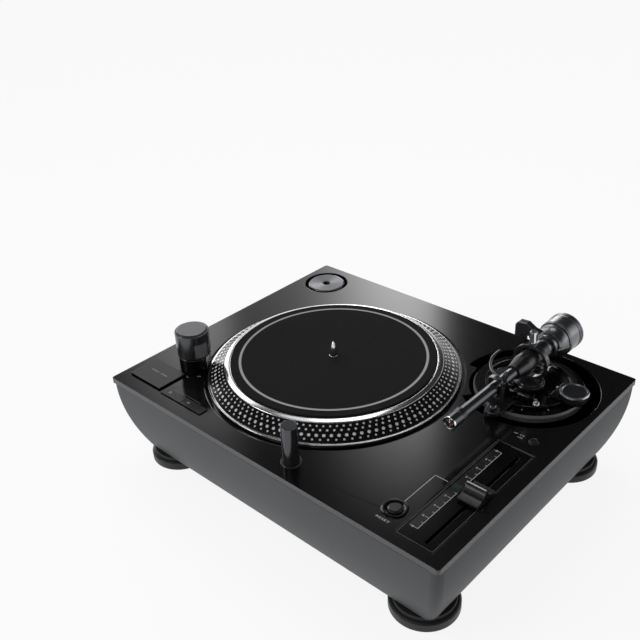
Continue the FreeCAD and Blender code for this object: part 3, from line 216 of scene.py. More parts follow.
# Pressed felt slipmat: soft black nap with one printed light grey ring.
def blackFelt():
    material, tree, shader = startMaterial("pressedFelt", {"IOR": 1.45, "Specular IOR Level": 0.12,
                                                           "Sheen Weight": 0.02, "Sheen Roughness": 0.5})
    place, blend = addGrain(tree, shader, ("#151516", "#1c1c1d"), 5, felt["fibre"], (0.85, 0.98), 0.12)
    centred = addNode(tree, "Mapping", {"Location": (-spindleAxis.x * mm, -spindleAxis.y * mm, 0),
                                        "Scale": (1, 1, 0)}, {"Vector": place})
    radius = addNode(tree, "VectorMath", {"operation": "LENGTH"}, {0: centred.outputs[0]})
    half = felt["printWidth"] / 2
    away = addNode(tree, "Math", {"operation": "SUBTRACT", 1: (felt["printRadius"] - half) * mm},
                   {0: radius.outputs["Value"]})
    distance = addNode(tree, "Math", {"operation": "ABSOLUTE"}, {0: away.outputs[0]})
    ink = addNode(tree, "MapRange", {1: (half - felt["printEdge"]) * mm, 2: (half + felt["printEdge"]) * mm,
                                     3: 1.0, 4: 0.0}, {0: distance.outputs[0]})
    printed = addNode(tree, "Mix", {"data_type": "RGBA"}, {0: ink.outputs[0], 6: blend.outputs[2]})
    printed.inputs[7].default_value = linear("#a3a3a3")
    tree.links.new(printed.outputs[2], shader.inputs["Base Color"])
    return material


# Chromed brass of the spindle, the screws, the jacks and the arm's mouth: a clear mirror.
def chrome():
    material, tree, shader = startMaterial("chromedBrass", {"Metallic": 1.0})
    addGrain(tree, shader, ("#cfd0d2", "#dedfe1"), 6, 0.5, (0.08, 0.16), 0.0004)
    return material


# Satin nickel of the foot studs, the motor bearing and the bright rims and tips.
def satinNickel():
    material, tree, shader = startMaterial("satinNickel", {"Metallic": 1.0})
    addGrain(tree, shader, ("#9d9ea1", "#b3b4b7"), 8, 0.3, (0.24, 0.32), 0.001)
    return material


# Moulded rubber under the feet: dull, with a fine bloom.
def mouldedRubber():
    material, tree, shader = startMaterial("mouldedRubber", {"IOR": 1.52, "Specular IOR Level": 0.35})
    addGrain(tree, shader, ("#1e1e20", "#262628"), 10, 0.8, (0.38, 0.48), 0.006)
    return material


# Screen-printed marks: flat light grey ink.
def printInk():
    material, tree, shader = startMaterial("screenPrintInk", {"IOR": 1.45})
    addGrain(tree, shader, ("#a9a9aa", "#b8b8b9"), 6, 0.3, (0.5, 0.6), 0.002)
    return material


# Dimmer print for the small notes beside the controls.
def faintInk():
    material, tree, shader = startMaterial("faintPrintInk", {"IOR": 1.45})
    addGrain(tree, shader, ("#5c5c5d", "#676768"), 6, 0.3, (0.5, 0.6), 0.002)
    return material


# Smoked acrylic strip beside the pitch slot, which carries the scale.
def smokedAcrylic():
    material, tree, shader = startMaterial("smokedAcrylic", {"IOR": 1.49})
    addGrain(tree, shader, ("#131314", "#1b1b1c"), 14, 0.8, (0.18, 0.26), 0.001)
    return material


# Frosted polycarbonate window of the strobe lamp.
def frostedPolycarbonate():
    material, tree, shader = startMaterial("frostedPolycarbonate", {"IOR": 1.58, "Transmission Weight": 0.35})
    addGrain(tree, shader, ("#6f7072", "#7d7e80"), 6, 0.3, (0.4, 0.5), 0.006)
    return material


# Gold-flashed copper contacts inside the headshell socket.
def contactCopper():
    material, tree, shader = startMaterial("goldFlashedCopper", {"Metallic": 1.0})
    addGrain(tree, shader, ("#8a5238", "#a86a4c"), 2, 0.2, (0.25, 0.4), 0.002)
    return material


# Lens of the centre-detent light: dark green, hardly lit.
def greenLens():
    material, tree, shader = startMaterial("greenLedLens", {"IOR": 1.49, "Emission Strength": 0.02})
    shader.inputs["Emission Color"].default_value = linear("#1fae72")
    addGrain(tree, shader, ("#0a1d15", "#0c251a"), 2, 0.3, (0.2, 0.3), 0.001)
    return material


# Grey satin disc let into the power knob's top.
def satinCap():
    material, tree, shader = startMaterial("satinPaintedCap", {"Metallic": 0.3, "IOR": 1.5})
    addGrain(tree, shader, ("#69696b", "#747476"), 9, 0.3, (0.3, 0.4), 0.001)
    return material


# Dark satin metal of the counterweight, the force dial and the shaft behind the pivot.
def darkNickel():
    material, tree, shader = startMaterial("darkNickel", {"Metallic": 0.95})
    addGrain(tree, shader, ("#707174", "#7c7d80"), 8, 0.3, (0.26, 0.32), 0.001)
    return material


# Knurled aluminium of the height ring's wall, painted a lighter grey than the ring's black top: a painted
# highlight for the light the fine ribs catch.
def knurledWallHighlight():
    material, tree, shader = startMaterial("knurledAluminiumPaintedHighlight", {"Metallic": 0.4, "IOR": 1.5})
    addGrain(tree, shader, ("#5c5d5f", "#68696b"), 6, 0.3, (0.42, 0.5), 0.002)
    return material


# Side faces of the steel plate's powder coat, painted a lighter grey than the top: painted light for how the
# light falls on the upright faces.
def plateSidePaintedLight():
    material, tree, shader = startMaterial("powderCoatPaintedLightSide", {"IOR": 1.5, "Specular IOR Level": 0.5})
    addGrain(tree, shader, ("#434447", "#4b4c4f"), 40, 0.5, (0.36, 0.44), 0.001)
    return material


# Solder mask over glass-fibre board, for the boards inside.
def solderMask():
    material, tree, shader = startMaterial("greenSolderMask", {"IOR": 1.5})
    addGrain(tree, shader, ("#12452b", "#1a5a38"), 3, 0.4, (0.35, 0.5), 0.01)
    return material


# Varnished copper windings of the stator.
def copperWinding():
    material, tree, shader = startMaterial("varnishedCopperWire", {"Metallic": 0.9})
    addGrain(tree, shader, ("#8c4f2c", "#a9623a"), 2, 0.5, (0.3, 0.45), 0.05)
    return material


# Laminated iron of the transformer and sintered ferrite of the magnet.
def dullIron():
    material, tree, shader = startMaterial("sinteredIron", {"Metallic": 0.7})
    addGrain(tree, shader, ("#38383a", "#47474a"), 6, 0.5, (0.45, 0.6), 0.02)
    return material


finish = {
    "powder": powderCoat(), "shell": erodedAbs(), "abs": mouldedAbs(), "acrylic": glossAcrylic(),
    "anodised": anodised(), "polished": polishedAluminium(), "turned": turnedAluminium(),
    "enamel": platterEnamel(), "dot": machinedDot(), "felt": blackFelt(), "chrome": chrome(),
    "nickel": satinNickel(), "rubber": mouldedRubber(), "ink": printInk(), "faint": faintInk(),
    "smoked": smokedAcrylic(), "frosted": frostedPolycarbonate(), "copper": contactCopper(),
    "green": greenLens(), "cap": satinCap(), "dark": darkNickel(), "edge": plateSidePaintedLight(),
    "knurl": knurledWallHighlight(), "board": solderMask(), "winding": copperWinding(), "iron": dullIron(),
}
print("materials made")


def makePiece(name, bm, body, paints, replaced=(), smoothAngle=32):
    mesh = bpy.data.meshes.new(name)
    bm.to_mesh(mesh)
    bm.free()
    for paint in paints:
        mesh.materials.append(finish[paint])
    mesh.shade_smooth()
    mesh.set_sharp_from_angle(angle=math.radians(smoothAngle))
    item = bpy.data.objects.new(name, mesh)
    bpy.context.scene.collection.objects.link(item)
    weighted = item.modifiers.new("weighted", "WEIGHTED_NORMAL")
    weighted.keep_sharp = True
    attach(item, body)
    if replaced:
        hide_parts(*replaced)
    return item


# A CAD piece as it is, with its triangles merged and its edges eased. The faces that a test
# chooses by middle and normal take the second paint.
def easeNode(node, paint, ease=0.25, segments=2, second=None, chosen=None, least=32):
    bm = bmesh.new()
    bm.from_mesh(frame["nodes"][node].data)
    bmesh.ops.remove_doubles(bm, verts=bm.verts, dist=1e-6)
    words = node.split("_")
    label = words[0] + "".join(word.capitalize() for word in words[1:]) + "Body"
    paints = [paint, second] if second else [paint]
    item = makePiece(label, bm, bodyOf[node], paints, [node], smoothAngle=least)
    for face in item.data.polygons:
        face.use_smooth = abs(face.normal.z) < 0.99
        if second and chosen(face.center / mm, face.normal):
            face.material_index = 1
    if ease:
        bevel = item.modifiers.new("eased", "BEVEL")
        bevel.width = ease * mm
        bevel.segments = segments
        bevel.profile = 0.5
        bevel.limit_method = "ANGLE"
        bevel.angle_limit = math.radians(least)
        bevel.use_clamp_overlap = False
        bevel.miter_outer = "MITER_ARC"
        item.modifiers.move(item.modifiers.find("eased"), 0)
    return item


# Turns a profile of (radius, height) pairs round the vertical axis.
def spinProfile(profile, steps=96, closed=False):
    bm = bmesh.new()
    verts = [bm.verts.new((radius * mm, 0, height * mm)) for radius, height in profile]
    edges = [bm.edges.new(pair) for pair in zip(verts, verts[1:])]
    if closed:
        edges.append(bm.edges.new((verts[-1], verts[0])))
    bmesh.ops.spin(bm, geom=verts + edges, cent=(0, 0, 0), axis=(0, 0, 1), angle=fullTurn,
                   steps=steps, use_merge=True)
    bmesh.ops.remove_doubles(bm, verts=bm.verts, dist=1e-7)
    bmesh.ops.recalc_face_normals(bm, faces=bm.faces)
    return bm


def easeEdges(bm, width, segments=2, least=25):
    sharp = [edge for edge in bm.edges if len(edge.link_faces) == 2
             and edge.calc_face_angle() > math.radians(least)]
    bmesh.ops.bevel(bm, geom=sharp, offset=width * mm, offset_type="OFFSET", segments=segments,
                    profile=0.5, affect="EDGES", clamp_overlap=True, material=-1)


ways = {
    "up": Matrix.Identity(4),
    "back": Matrix.Rotation(-math.pi / 2, 4, "X"),
    "right": Matrix.Rotation(math.pi / 2, 4, "Y"),
}


def place(bm, centre, way="up"):
    bmesh.ops.transform(bm, matrix=Matrix.Translation(Vector(centre) * mm) @ ways[way], verts=bm.verts)


# Raises a ribbed grip on the faces of a turned piece between two heights.
def addGrip(bm, low, high, least, rib, depth):
    chosen = [face for face in bm.faces if low * mm < face.calc_center_median().z < high * mm
              and face.calc_center_median().xy.length > least * mm and abs(face.normal.z) < 0.6]
    bmesh.ops.inset_individual(bm, faces=chosen, thickness=rib * mm, depth=depth * mm)


def boxMesh(centre, size, ease=0.0):
    bm = bmesh.new()
    bmesh.ops.create_cube(bm, size=1)
    bmesh.ops.scale(bm, vec=Vector(size) * mm, verts=bm.verts)
    bmesh.ops.translate(bm, vec=Vector(centre) * mm, verts=bm.verts)
    if ease:
        easeEdges(bm, ease)
    return bm


def joinMesh(target, source):
    temporary = bpy.data.meshes.new("joining")
    source.to_mesh(temporary)
    source.free()
    target.from_mesh(temporary)
    bpy.data.meshes.remove(temporary)


# Printed words: a flat text is turned into a mesh, sized by its real width, and laid in place.
def addWords(name, words, width, matrix, body, paint="ink", thick=0.06, height=None):
    curve = bpy.data.curves.new(name + "Letters", "FONT")
    curve.body = words
    curve.align_x = "CENTER"
    curve.align_y = "CENTER"
    curve.extrude = thick / 2
    curve.resolution_u = 3
    letters = bpy.data.objects.new(name + "Letters", curve)
    bpy.context.scene.collection.objects.link(letters)
    bpy.context.view_layer.update()
    mesh = bpy.data.meshes.new_from_object(letters.evaluated_get(bpy.context.evaluated_depsgraph_get()))
    bpy.data.objects.remove(letters)
    bm = bmesh.new()
    bm.from_mesh(mesh)
    bpy.data.meshes.remove(mesh)
    bmesh.ops.remove_doubles(bm, verts=bm.verts, dist=1e-5)
    xs = [vert.co.x for vert in bm.verts]
    ys = [vert.co.y for vert in bm.verts]
    factor = width / (max(xs) - min(xs))
    tall = height / (max(ys) - min(ys)) if height else factor
    bmesh.ops.translate(bm, vec=(-(max(xs) + min(xs)) / 2, -(max(ys) + min(ys)) / 2, 0), verts=bm.verts)
    bmesh.ops.scale(bm, vec=(factor * mm, tall * mm, mm), verts=bm.verts)
    bmesh.ops.transform(bm, matrix=matrix, verts=bm.verts)
    return makePiece(name, bm, body, [paint])


def flatAt(x, y, z, turn=0.0):
    return Matrix.Translation(Vector((x, y, z)) * mm) @ Matrix.Rotation(math.radians(turn), 4, "Z")


# A printed line between two points of the plate.
def addStroke(bm, start, end, width, level, thick=0.06):
    first, last = Vector((*start, level)), Vector((*end, level))
    run = last - first
    stroke = boxMesh((0, 0, 0), (run.length + width, width, thick))
    stand = Matrix.Translation((first + last) / 2 * mm) @ Matrix.Rotation(math.atan2(run.y, run.x), 4, "Z")
    bmesh.ops.transform(stroke, matrix=stand, verts=stroke.verts)
    joinMesh(bm, stroke)


case = {
    "plateEase": 0.45, "shellEase": 0.5, "sideFrom": (179, 142),
    "seam": 84, "seamWide": 1.0, "seamProud": 0.05, "seamCorner": 9,
}


def buildCase():
    across, along = case["sideFrom"]
    # The plate's upright outer faces take the lighter 'edge' paint, which is painted light on the sides.
    easeNode("top_plate", "powder", case["plateEase"], 3, "edge",
             lambda spot, normal: abs(normal.z) < 0.5 and (abs(spot.x) > across or abs(spot.y) > along))
    easeNode("plinth_shell", "shell", case["shellEase"], 3)
    easeNode("base_cover", "abs", 0.4)
    easeNode("rear_panel", "abs", 0.3)
    easeNode("power_inlet", "abs", 0.3)
    easeNode("rca_jacks", "chrome", 0.15)
    easeNode("ground_terminal", "chrome", 0.2)
    buildSeamShadow()
    for corner in ("front_left", "front_right", "back_left", "back_right"):
        buildFoot(corner)


# Painted shadow: a thin black band, standing just proud of the shell, laid where the gap between the plate
# and the shell falls into shade, on the straight runs of the four sides.
def buildSeamShadow():
    low, high = span("plinth_shell")
    size = high - low
    centre = (low + high) / 2
    bm = bmesh.new()
    for wide, deep in ((size.x - 2 * case["seamCorner"], size.y + 2 * case["seamProud"]),
                       (size.x + 2 * case["seamProud"], size.y - 2 * case["seamCorner"])):
        joinMesh(bm, boxMesh((centre.x, centre.y, case["seam"]), (wide, deep, case["seamWide"])))
    makePiece("plateSeam", bm, "chassis", ["enamel"])


foot = {"radius": 27.6, "neck": 24.5, "rise": 9.4, "top": 12.7, "stud": 4, "socket": 3, "pad": 0.6}


def buildFoot(corner):
    node = "foot_cup_" + corner
    centre = middle(node)
    bm = spinProfile([
        (0, 0), (foot["radius"] - 3.4, 0), (foot["radius"] - 2.6, foot["pad"]),
        (foot["radius"] - 1, foot["pad"]), (foot["radius"], 1.8),
        (foot["radius"], foot["rise"] - 1.2), (foot["radius"] - 1.6, foot["rise"]),
        (foot["neck"], foot["rise"]), (foot["neck"], foot["top"]), (foot["stud"], foot["top"]),
        (foot["stud"], foot["rise"] - foot["socket"]), (0, foot["rise"] - foot["socket"]),
    ], 96)
    easeEdges(bm, 0.4)
    place(bm, (centre.x, centre.y, 0))
    makePiece("footCup" + corner.title().replace("_", ""), bm, bodyOf[node], ["rubber"], [node])
    easeNode("foot_stud_" + corner, "nickel", 0.3)


disc = {
    "lip": 112.4, "lipLow": 88.7, "lipHigh": 91.4, "foot": 109.9, "footLevel": 92.5,
    "head": 97, "headLevel": 101, "crown": ((96.75, 101.7), (93.8, 102.8)),
    "inner": 92.2, "innerLevel": 102.4,
    "hub": 14, "hubLevel": 92.8, "webLevel": 98.5, "web": 88, "rim": 103, "bore": 4, "steps": 256,
    "rows": ((0.13, 1.05, 107), (0.36, 1.6, 110), (0.64, 1.15, 113), (0.86, 1.05, 116)),
    "dotRise": 0.22, "dotTop": 0.72,
}


def buildPlatter():
    bm = spinProfile([
        (disc["bore"], disc["hubLevel"]), (disc["hub"], disc["hubLevel"]),
        (disc["hub"], disc["webLevel"]), (disc["web"], disc["webLevel"]),
        (disc["rim"], disc["footLevel"]), (disc["rim"], disc["lipLow"]),
        (disc["lip"], disc["lipLow"]), (disc["lip"], disc["lipHigh"]), (disc["foot"] + 0.9, disc["lipHigh"]),
        (disc["foot"], disc["footLevel"]), (disc["head"], disc["headLevel"]), *disc["crown"],
        (disc["inner"] + 0.5, disc["crown"][-1][1]), (disc["inner"], disc["innerLevel"]),
        (disc["bore"], disc["innerLevel"]),
    ], disc["steps"], closed=True)
    easeEdges(bm, 0.3, 3, 40)
    for face in bm.faces:
        centre = face.calc_center_median()
        away = centre.xy.length / mm
        onBand = disc["head"] - 0.2 < away < disc["foot"] + 0.4 and centre.z / mm > disc["lipHigh"]
        face.material_index = 1 if onBand else 0
    place(bm, (spindleAxis.x, spindleAxis.y, 0))
    makePiece("platterDisc", bm, bodyOf["platter"], ["polished", "enamel"], ["platter"])
    buildDots()
    easeNode("rotor_magnet", "iron", 0.3)


def buildDots():
    bm = bmesh.new()
    across = disc["head"] - disc["foot"]
    rise = disc["headLevel"] - disc["footLevel"]
    lean = math.atan2(rise, -across)
    for share, radius, count in disc["rows"]:
        away = disc["foot"] + share * across
        level = disc["footLevel"] + share * rise
        for number in range(count):
            turn = Matrix.Rotation(fullTurn * number / count, 4, "Z")
            stand = Matrix.Translation(Vector((away, 0, level)) * mm) @ Matrix.Rotation(lean, 4, "Y")
            bmesh.ops.create_cone(bm, cap_ends=True, segments=12, radius1=radius * mm,
                                  radius2=radius * disc["dotTop"] * mm, depth=disc["dotRise"] * 2 * mm,
                                  matrix=turn @ stand)
    place(bm, (spindleAxis.x, spindleAxis.y, 0))
    makePiece("strobeDots", bm, bodyOf["platter"], ["dot"])


mat = {"radius": 91.4, "hole": 4.15, "low": 102.5, "high": 104}


def buildMat():
    bm = spinProfile([
        (mat["hole"], mat["low"]), (mat["radius"], mat["low"]), (mat["radius"], mat["high"]),
        (mat["radius"] - 2, mat["high"]), (mat["radius"] / 2, mat["high"]), (mat["hole"], mat["high"]),
    ], 192, closed=True)
    easeEdges(bm, 0.45, 3)
    place(bm, (spindleAxis.x, spindleAxis.y, 0))
    makePiece("slipmatFelt", bm, bodyOf["slipmat"], ["felt"], ["slipmat"])


shaft = {"journal": 4, "pin": 3.6, "low": 48.6, "seat": 104, "shoulder": 111, "tip": 118}


def buildSpindle():
    bm = spinProfile([
        (0, shaft["low"]), (shaft["journal"], shaft["low"]), (shaft["journal"], shaft["seat"]),
        (shaft["pin"], shaft["seat"]), (shaft["pin"], shaft["shoulder"]), (0.45, shaft["tip"] - 0.5),
        (0.2, shaft["tip"] - 0.1), (0, shaft["tip"]),
    ], 64)
    easeEdges(bm, 0.12, 2, 35)
    place(bm, (spindleAxis.x, spindleAxis.y, 0))
    makePiece("spindleShaft", bm, bodyOf["spindle"], ["chrome"], ["spindle"])


adapter = {"radius": 19, "bore": 3.65, "dish": 0.5}


def buildAdapter():
    low, high = span("single_adapter")
    centre = (low + high) / 2
    tall = high.z - low.z
    bm = spinProfile([
        (adapter["bore"], 0), (adapter["radius"] - 1, 0), (adapter["radius"], 1),
        (adapter["radius"], tall - 1), (adapter["radius"] - 1, tall),
        (adapter["bore"] + 0.6, tall - adapter["dish"]),
        (adapter["bore"], tall - adapter["dish"] - 0.6),
    ], 128, closed=True)
    easeEdges(bm, 0.3)
    place(bm, (centre.x, centre.y, low.z))
    makePiece("singleAdapterRing", bm, bodyOf["single_adapter"], ["turned"], ["single_adapter"])


keys = {
    "startLabel": (-149.5, -112.2, 20.5, 1.5), "keyRise": 1, "startRise": 1.8,
    "speedMarks": ((-118.1, -125.1, "33"), (-93.6, -125.2, "45")), "speedMark": 2.8,
    "line": ((-110.9, -118.6), (-84.8, -117.1)), "stroke": 0.3,
}


def buildKeys():
    for node in ("start_button", "button_33", "button_45"):
        # The side walls take the near-black acrylic paint, darker than the moulded tops: painted shade on the
        # sides of each key.
        easeNode(node, "abs", 0.25, 3, "acrylic", lambda spot, normal: abs(normal.z) < 0.6)
    x, y, width, height = keys["startLabel"]
    addWords("startLabel", "START · STOP", width, flatAt(x, y, plateTop + keys["startRise"]), "start_key",
             height=height)
    for x, y, words in keys["speedMarks"]:
        spot = flatAt(x, y, plateTop + keys["keyRise"])
        addWords("mark" + words, words, keys["speedMark"], spot, "key_" + words)
    bm = bmesh.new()
    start, end = keys["line"]
    addStroke(bm, start, (end[0], start[1]), keys["stroke"], plateTop)
    makePiece("speedLine", bm, "chassis", ["faint"])


tower = {"inlay": 12.7, "inlayRise": 0.12,
         "words": (("OFF", -126.6, -99.4, 4.4, -22), ("ON", -118.6, -92.2, 3.2, 38)), "wordHeight": 1.5}


def buildTower():
    easeNode("lamp_tower", "acrylic", 0.3)
    easeNode("power_knob", "anodised", 0.25, 3)
    easeNode("strobe_window", "frosted", 0.12)
    axis = middle("lamp_tower")
    top = span("power_knob")[1].z
    rise = tower["inlayRise"]
    bm = spinProfile([(0, 0), (tower["inlay"], 0), (tower["inlay"], rise), (0, rise)])
    easeEdges(bm, 0.05)
    place(bm, (axis.x, axis.y, top - 0.02))
    makePiece("powerKnobInlay", bm, "power_dial", ["cap"])
    for words, x, y, width, turn in tower["words"]:
        addWords("power" + words.title(), words, width, flatAt(x, y, plateTop, turn), "chassis",
                 height=tower["wordHeight"])


def buildTarget():
    easeNode("target_bush", "abs", 0.2)
    easeNode("target_light", "anodised", 0.35, 3)


reset = {
    "word": (121.4, -128.3, 11.8, 2.0),
    "line": ((122, -104.5), (122, -67.4), (133.2, -67.4)), "stroke": 0.5,
}


def buildReset():
    easeNode("reset_bezel", "acrylic", 0.15)
    easeNode("reset_button", "abs", 0.5, 4)
    easeNode("range_button", "abs", 0.35, 3)
    x, y, width, height = reset["word"]
    addWords("resetWord", "RESET", width, flatAt(x, y, plateTop), "chassis", height=height)
    bm = bmesh.new()
    for start, end in zip(reset["line"], reset["line"][1:]):
        addStroke(bm, start, end, reset["stroke"], plateTop)
    makePiece("resetLine", bm, "chassis", ["ink"])


pitch = {
    "panel": (134.8, 167.4, -132.5, -2.5), "sunk": 0.5, "inset": 1.1, "frame": 0.25, "stroke": 0.4,
    "scale": 145.4, "scaleEnds": (-119.7, -14), "middle": -67, "gap": 0.9,
    "ticks": 8, "tick": 3.4, "shortTick": 1.8, "tickWide": 0.32,
    "numbers": "8642", "numberX": 140.4, "numberSize": 2.0,
    "bar": (147.2, 166.6, -2.6), "light": (141.6, -67, 6, 5),
    "ranges": (("±8", 140.6, 14.0, 3.2), ("±16", 146.3, 14.0, 4.0), ("±50", 146.3, 10.8, 4.0)),
    "rangeHeight": 1.5,
}


def buildPitch():
    easeNode("pitch_panel", "acrylic", 0.2)
    easeNode("pitch_scale_strip", "smoked", 0)
    easeNode("pitch_cap", "abs", 0.35, 3)
    level = plateTop - pitch["sunk"]
    gap = pitch["inset"]
    left, right, front, rear = (edge + way * gap for edge, way in zip(pitch["panel"], (1, -1, 1, -1)))
    bm = bmesh.new()
    corners = ((left, rear), (left, front), (right, front), (right, rear))
    for start, end in zip(corners, corners[1:]):
        addStroke(bm, start, end, pitch["frame"], level)
    makePiece("panelOutline", bm, "chassis", ["faint"])
    bm = bmesh.new()
    x = pitch["scale"]
    low, high = pitch["scaleEnds"]
    centre = pitch["middle"]
    step = (high - low) / (2 * pitch["ticks"])
    for side in (-1, 1):
        near = centre + side * step * pitch["gap"]
        addStroke(bm, (x, near), (x, centre + side * step * pitch["ticks"]), pitch["stroke"], level)
        for number in range(1, pitch["ticks"] + 1):
            reach = pitch["tick"] if number % 2 == 0 else pitch["shortTick"]
            y = centre + side * step * number
            addStroke(bm, (x, y), (x - reach, y), pitch["tickWide"], level)
    makePiece("pitchScale", bm, "chassis", ["ink"])
    for side, way, sign in ((-1, "Up", "+"), (1, "Down", "-")):
        for order, digit in enumerate(reversed(pitch["numbers"])):
            y = centre + side * step * 2 * (order + 1)
            words = sign + digit if digit == pitch["numbers"][0] else digit
            addWords("pitch%s%s" % (way, digit), words, pitch["numberSize"] * 0.75 * len(words),
                     flatAt(pitch["numberX"], y, level), "chassis", height=pitch["numberSize"])
    # Painted highlight: a bright satin nickel strip laid along the panel's rear edge where that edge catches
    # the light.
    highlightLeft, highlightRight, highlightY = pitch["bar"]
    bm = bmesh.new()
    addStroke(bm, (highlightLeft, highlightY), (highlightRight, highlightY), 1.0, plateTop - 0.4)
    makePiece("panelEdgePaintedHighlight", bm, "chassis", ["nickel"])
    x, y, width, depth = pitch["light"]
    makePiece("detentLight", boxMesh((x, y, level), (width, depth, 0.12)), "chassis", ["green"])
    cap = middle("pitch_cap")
    top = span("pitch_cap")[1].z
    bm = boxMesh((cap.x, cap.y, top), (span("pitch_cap")[1].x - span("pitch_cap")[0].x - 0.7, 1.1, 0.16))
    makePiece("pitchCapLine", bm, "pitch_slider", ["ink"])
    for number, (words, x, y, width) in enumerate(pitch["ranges"]):
        addWords("rangeWord%d" % number, words, width, flatAt(x, y, plateTop), "chassis",
                 height=pitch["rangeHeight"])


boardDot = {"spot": (136.1, 86.3, 92), "radius": 1.3, "thick": 0.1}


# White dot beside the anti-skate dial.
def buildBoardDot():
    bm = bmesh.new()
    radius = boardDot["radius"] * mm
    bmesh.ops.create_cone(bm, cap_ends=True, segments=24, radius1=radius, radius2=radius,
                          depth=boardDot["thick"] * mm)
    place(bm, boardDot["spot"])
    makePiece("armBoardDot", bm, bodyOf["arm_board"], ["ink"])


# Where the bright ends of the dark arm pieces begin.
arm = {"ballFrom": 137.2, "screwFrom": 131.3, "journalFrom": 9.4, "contactRadius": 3.2}


def buildArmBase():
    easeNode("arm_housing", "acrylic", 0.3)
    buildHeightRing()
    easeNode("arm_board", "acrylic", 0.35, 3)
    buildBoardDot()
    easeNode("pivot_pedestal", "anodised", 0.4, 3)
    easeNode("pivot_screw", "chrome", 0.2)
    easeNode("rest_post", "anodised", 0.3)
    easeNode("rest_latch", "anodised", 0.3)
    easeNode("lifter_housing", "anodised", 0.3)
    easeNode("lift_bar", "anodised", 0.2)
    easeNode("cue_lever", "anodised", 0.15, 2, "nickel", lambda spot, normal: spot.x > arm["ballFrom"])
    buildSkateKnob()


ring = {"inner": 37.3, "outer": 46.9, "steps": 180, "rib": 0.3, "ribDepth": 0.35,
        "marks": (-67.8, -36.1), "markFrom": 37.8, "markTo": 39.6, "markWide": 0.45}


def buildHeightRing():
    low, high = span("height_ring")
    tall = high.z - low.z
    bm = spinProfile([
        (ring["inner"], 0), (ring["outer"] - 1, 0), (ring["outer"] - 0.4, 0.6),
        (ring["outer"] - 0.4, tall - 1.8), (ring["outer"] - 1.2, tall), (ring["inner"], tall),
    ], ring["steps"], closed=True)
    addGrip(bm, 0.8, tall - 1, ring["outer"] - 1, ring["rib"], ring["ribDepth"])
    # The wall takes the lighter knurl paint, a painted highlight, and the flat top keeps the black acrylic.
    for face in bm.faces:
        face.material_index = 1 if face.calc_center_median().z > (tall - 0.05) * mm else 0
    place(bm, (pivot.x, pivot.y, low.z))
    makePiece("heightRingGrip", bm, bodyOf["height_ring"], ["knurl", "acrylic"], ["height_ring"])
    bm = bmesh.new()
    for angle in ring["marks"]:
        away = Vector((math.cos(math.radians(angle)), math.sin(math.radians(angle))))
        start, end = (pivot.xy + away * reach for reach in (ring["markFrom"], ring["markTo"]))
        addStroke(bm, start, end, ring["markWide"], high.z)
    makePiece("heightRingMarks", bm, bodyOf["height_ring"], ["ink"])


skate = {"radius": 12.3, "rim": 2.6, "dish": 0.5, "steps": 72, "rib": 0.22, "ribDepth": 0.25}


def buildSkateKnob():
    low, high = span("anti_skate_knob")
    centre = (low + high) / 2
    tall = high.z - low.z
    radius = skate["radius"]
    bm = spinProfile([
        (0, 0), (radius - 0.7, 0), (radius - 0.3, 0.5), (radius - 0.3, tall - 1), (radius - 0.9, tall),
        (radius - skate["rim"] + 0.5, tall), (radius - skate["rim"], tall - skate["dish"]),
        (0, tall - skate["dish"]),
    ], skate["steps"])
    addGrip(bm, 0.7, tall - 1.1, radius - 1, skate["rib"], skate["ribDepth"])
    for face in bm.faces:
        spot = face.calc_center_median() / mm
        onRim = spot.z > tall - skate["dish"] - 0.1 and spot.xy.length > radius - skate["rim"] - 0.1
        face.material_index = 1 if onRim else 0
    place(bm, (centre.x, centre.y, low.z))
    makePiece("antiSkateDial", bm, bodyOf["anti_skate_knob"], ["anodised", "nickel"], ["anti_skate_knob"])


def buildTonearm():
    easeNode("gimbal_ring", "anodised", 0.4, 3, "chrome", lambda spot, normal: spot.x > arm["screwFrom"])
    easeNode("pivot_block", "abs", 0.3, 3, "nickel",
             lambda spot, normal: abs(spot.x - armAxis.x) > arm["journalFrom"])
    easeNode("arm_tube", "anodised", 0.2)
    easeNode("arm_socket", "chrome", 0.15, 2, "copper",
             lambda spot, normal: (spot - armAxis).xz.length < arm["contactRadius"])
    easeNode("rear_stub", "dark", 0.3)
    buildCollar()
    easeNode("weight_bush", "abs", 0.2)
    buildWeight()
    buildDial()


sleeve = {
    "bore": 4.9, "mouth": ((5.5, 0), (5.85, 0.4), (5.85, 1.6)), "mouthLong": 1.7,
    "waist": 5.6, "grip": 5.9, "gripLong": 5, "rib": 0.1, "ribDepth": 0.15,
}


def buildCollar():
    low, high = span("locking_collar")
    long = high.y - low.y
    start = long - sleeve["gripLong"]
    bm = spinProfile([
        (sleeve["bore"], 0), *sleeve["mouth"], (sleeve["waist"], 1.9), (sleeve["waist"], start - 0.6),
        (sleeve["grip"], start), (sleeve["grip"], long - 0.4), (sleeve["grip"] - 0.4, long),
        (sleeve["bore"], long),
    ], closed=True)
    addGrip(bm, start, long - 0.4, sleeve["waist"] + 0.05, sleeve["rib"], sleeve["ribDepth"])
    for face in bm.faces:
        spot = face.calc_center_median() / mm
        bright = spot.z < sleeve["mouthLong"] or spot.xy.length < sleeve["bore"] + 0.1
        face.material_index = 1 if bright else 0
    place(bm, (armAxis.x, low.y, armAxis.z), "back")
    makePiece("lockingCollarSleeve", bm, bodyOf["locking_collar"], ["anodised", "chrome"], ["locking_collar"])


weight = {
    "ring": 10, "ringLong": 4, "neck": 9, "bodyAt": 15, "radius": 16.3, "steps": 120,
    "gripAt": 29.6, "rowStep": 1.15, "rows": 3, "rib": 0.16, "ribDepth": 0.25,
    "hollow": 8, "bore": 7.05, "hollowEnd": 7,
}


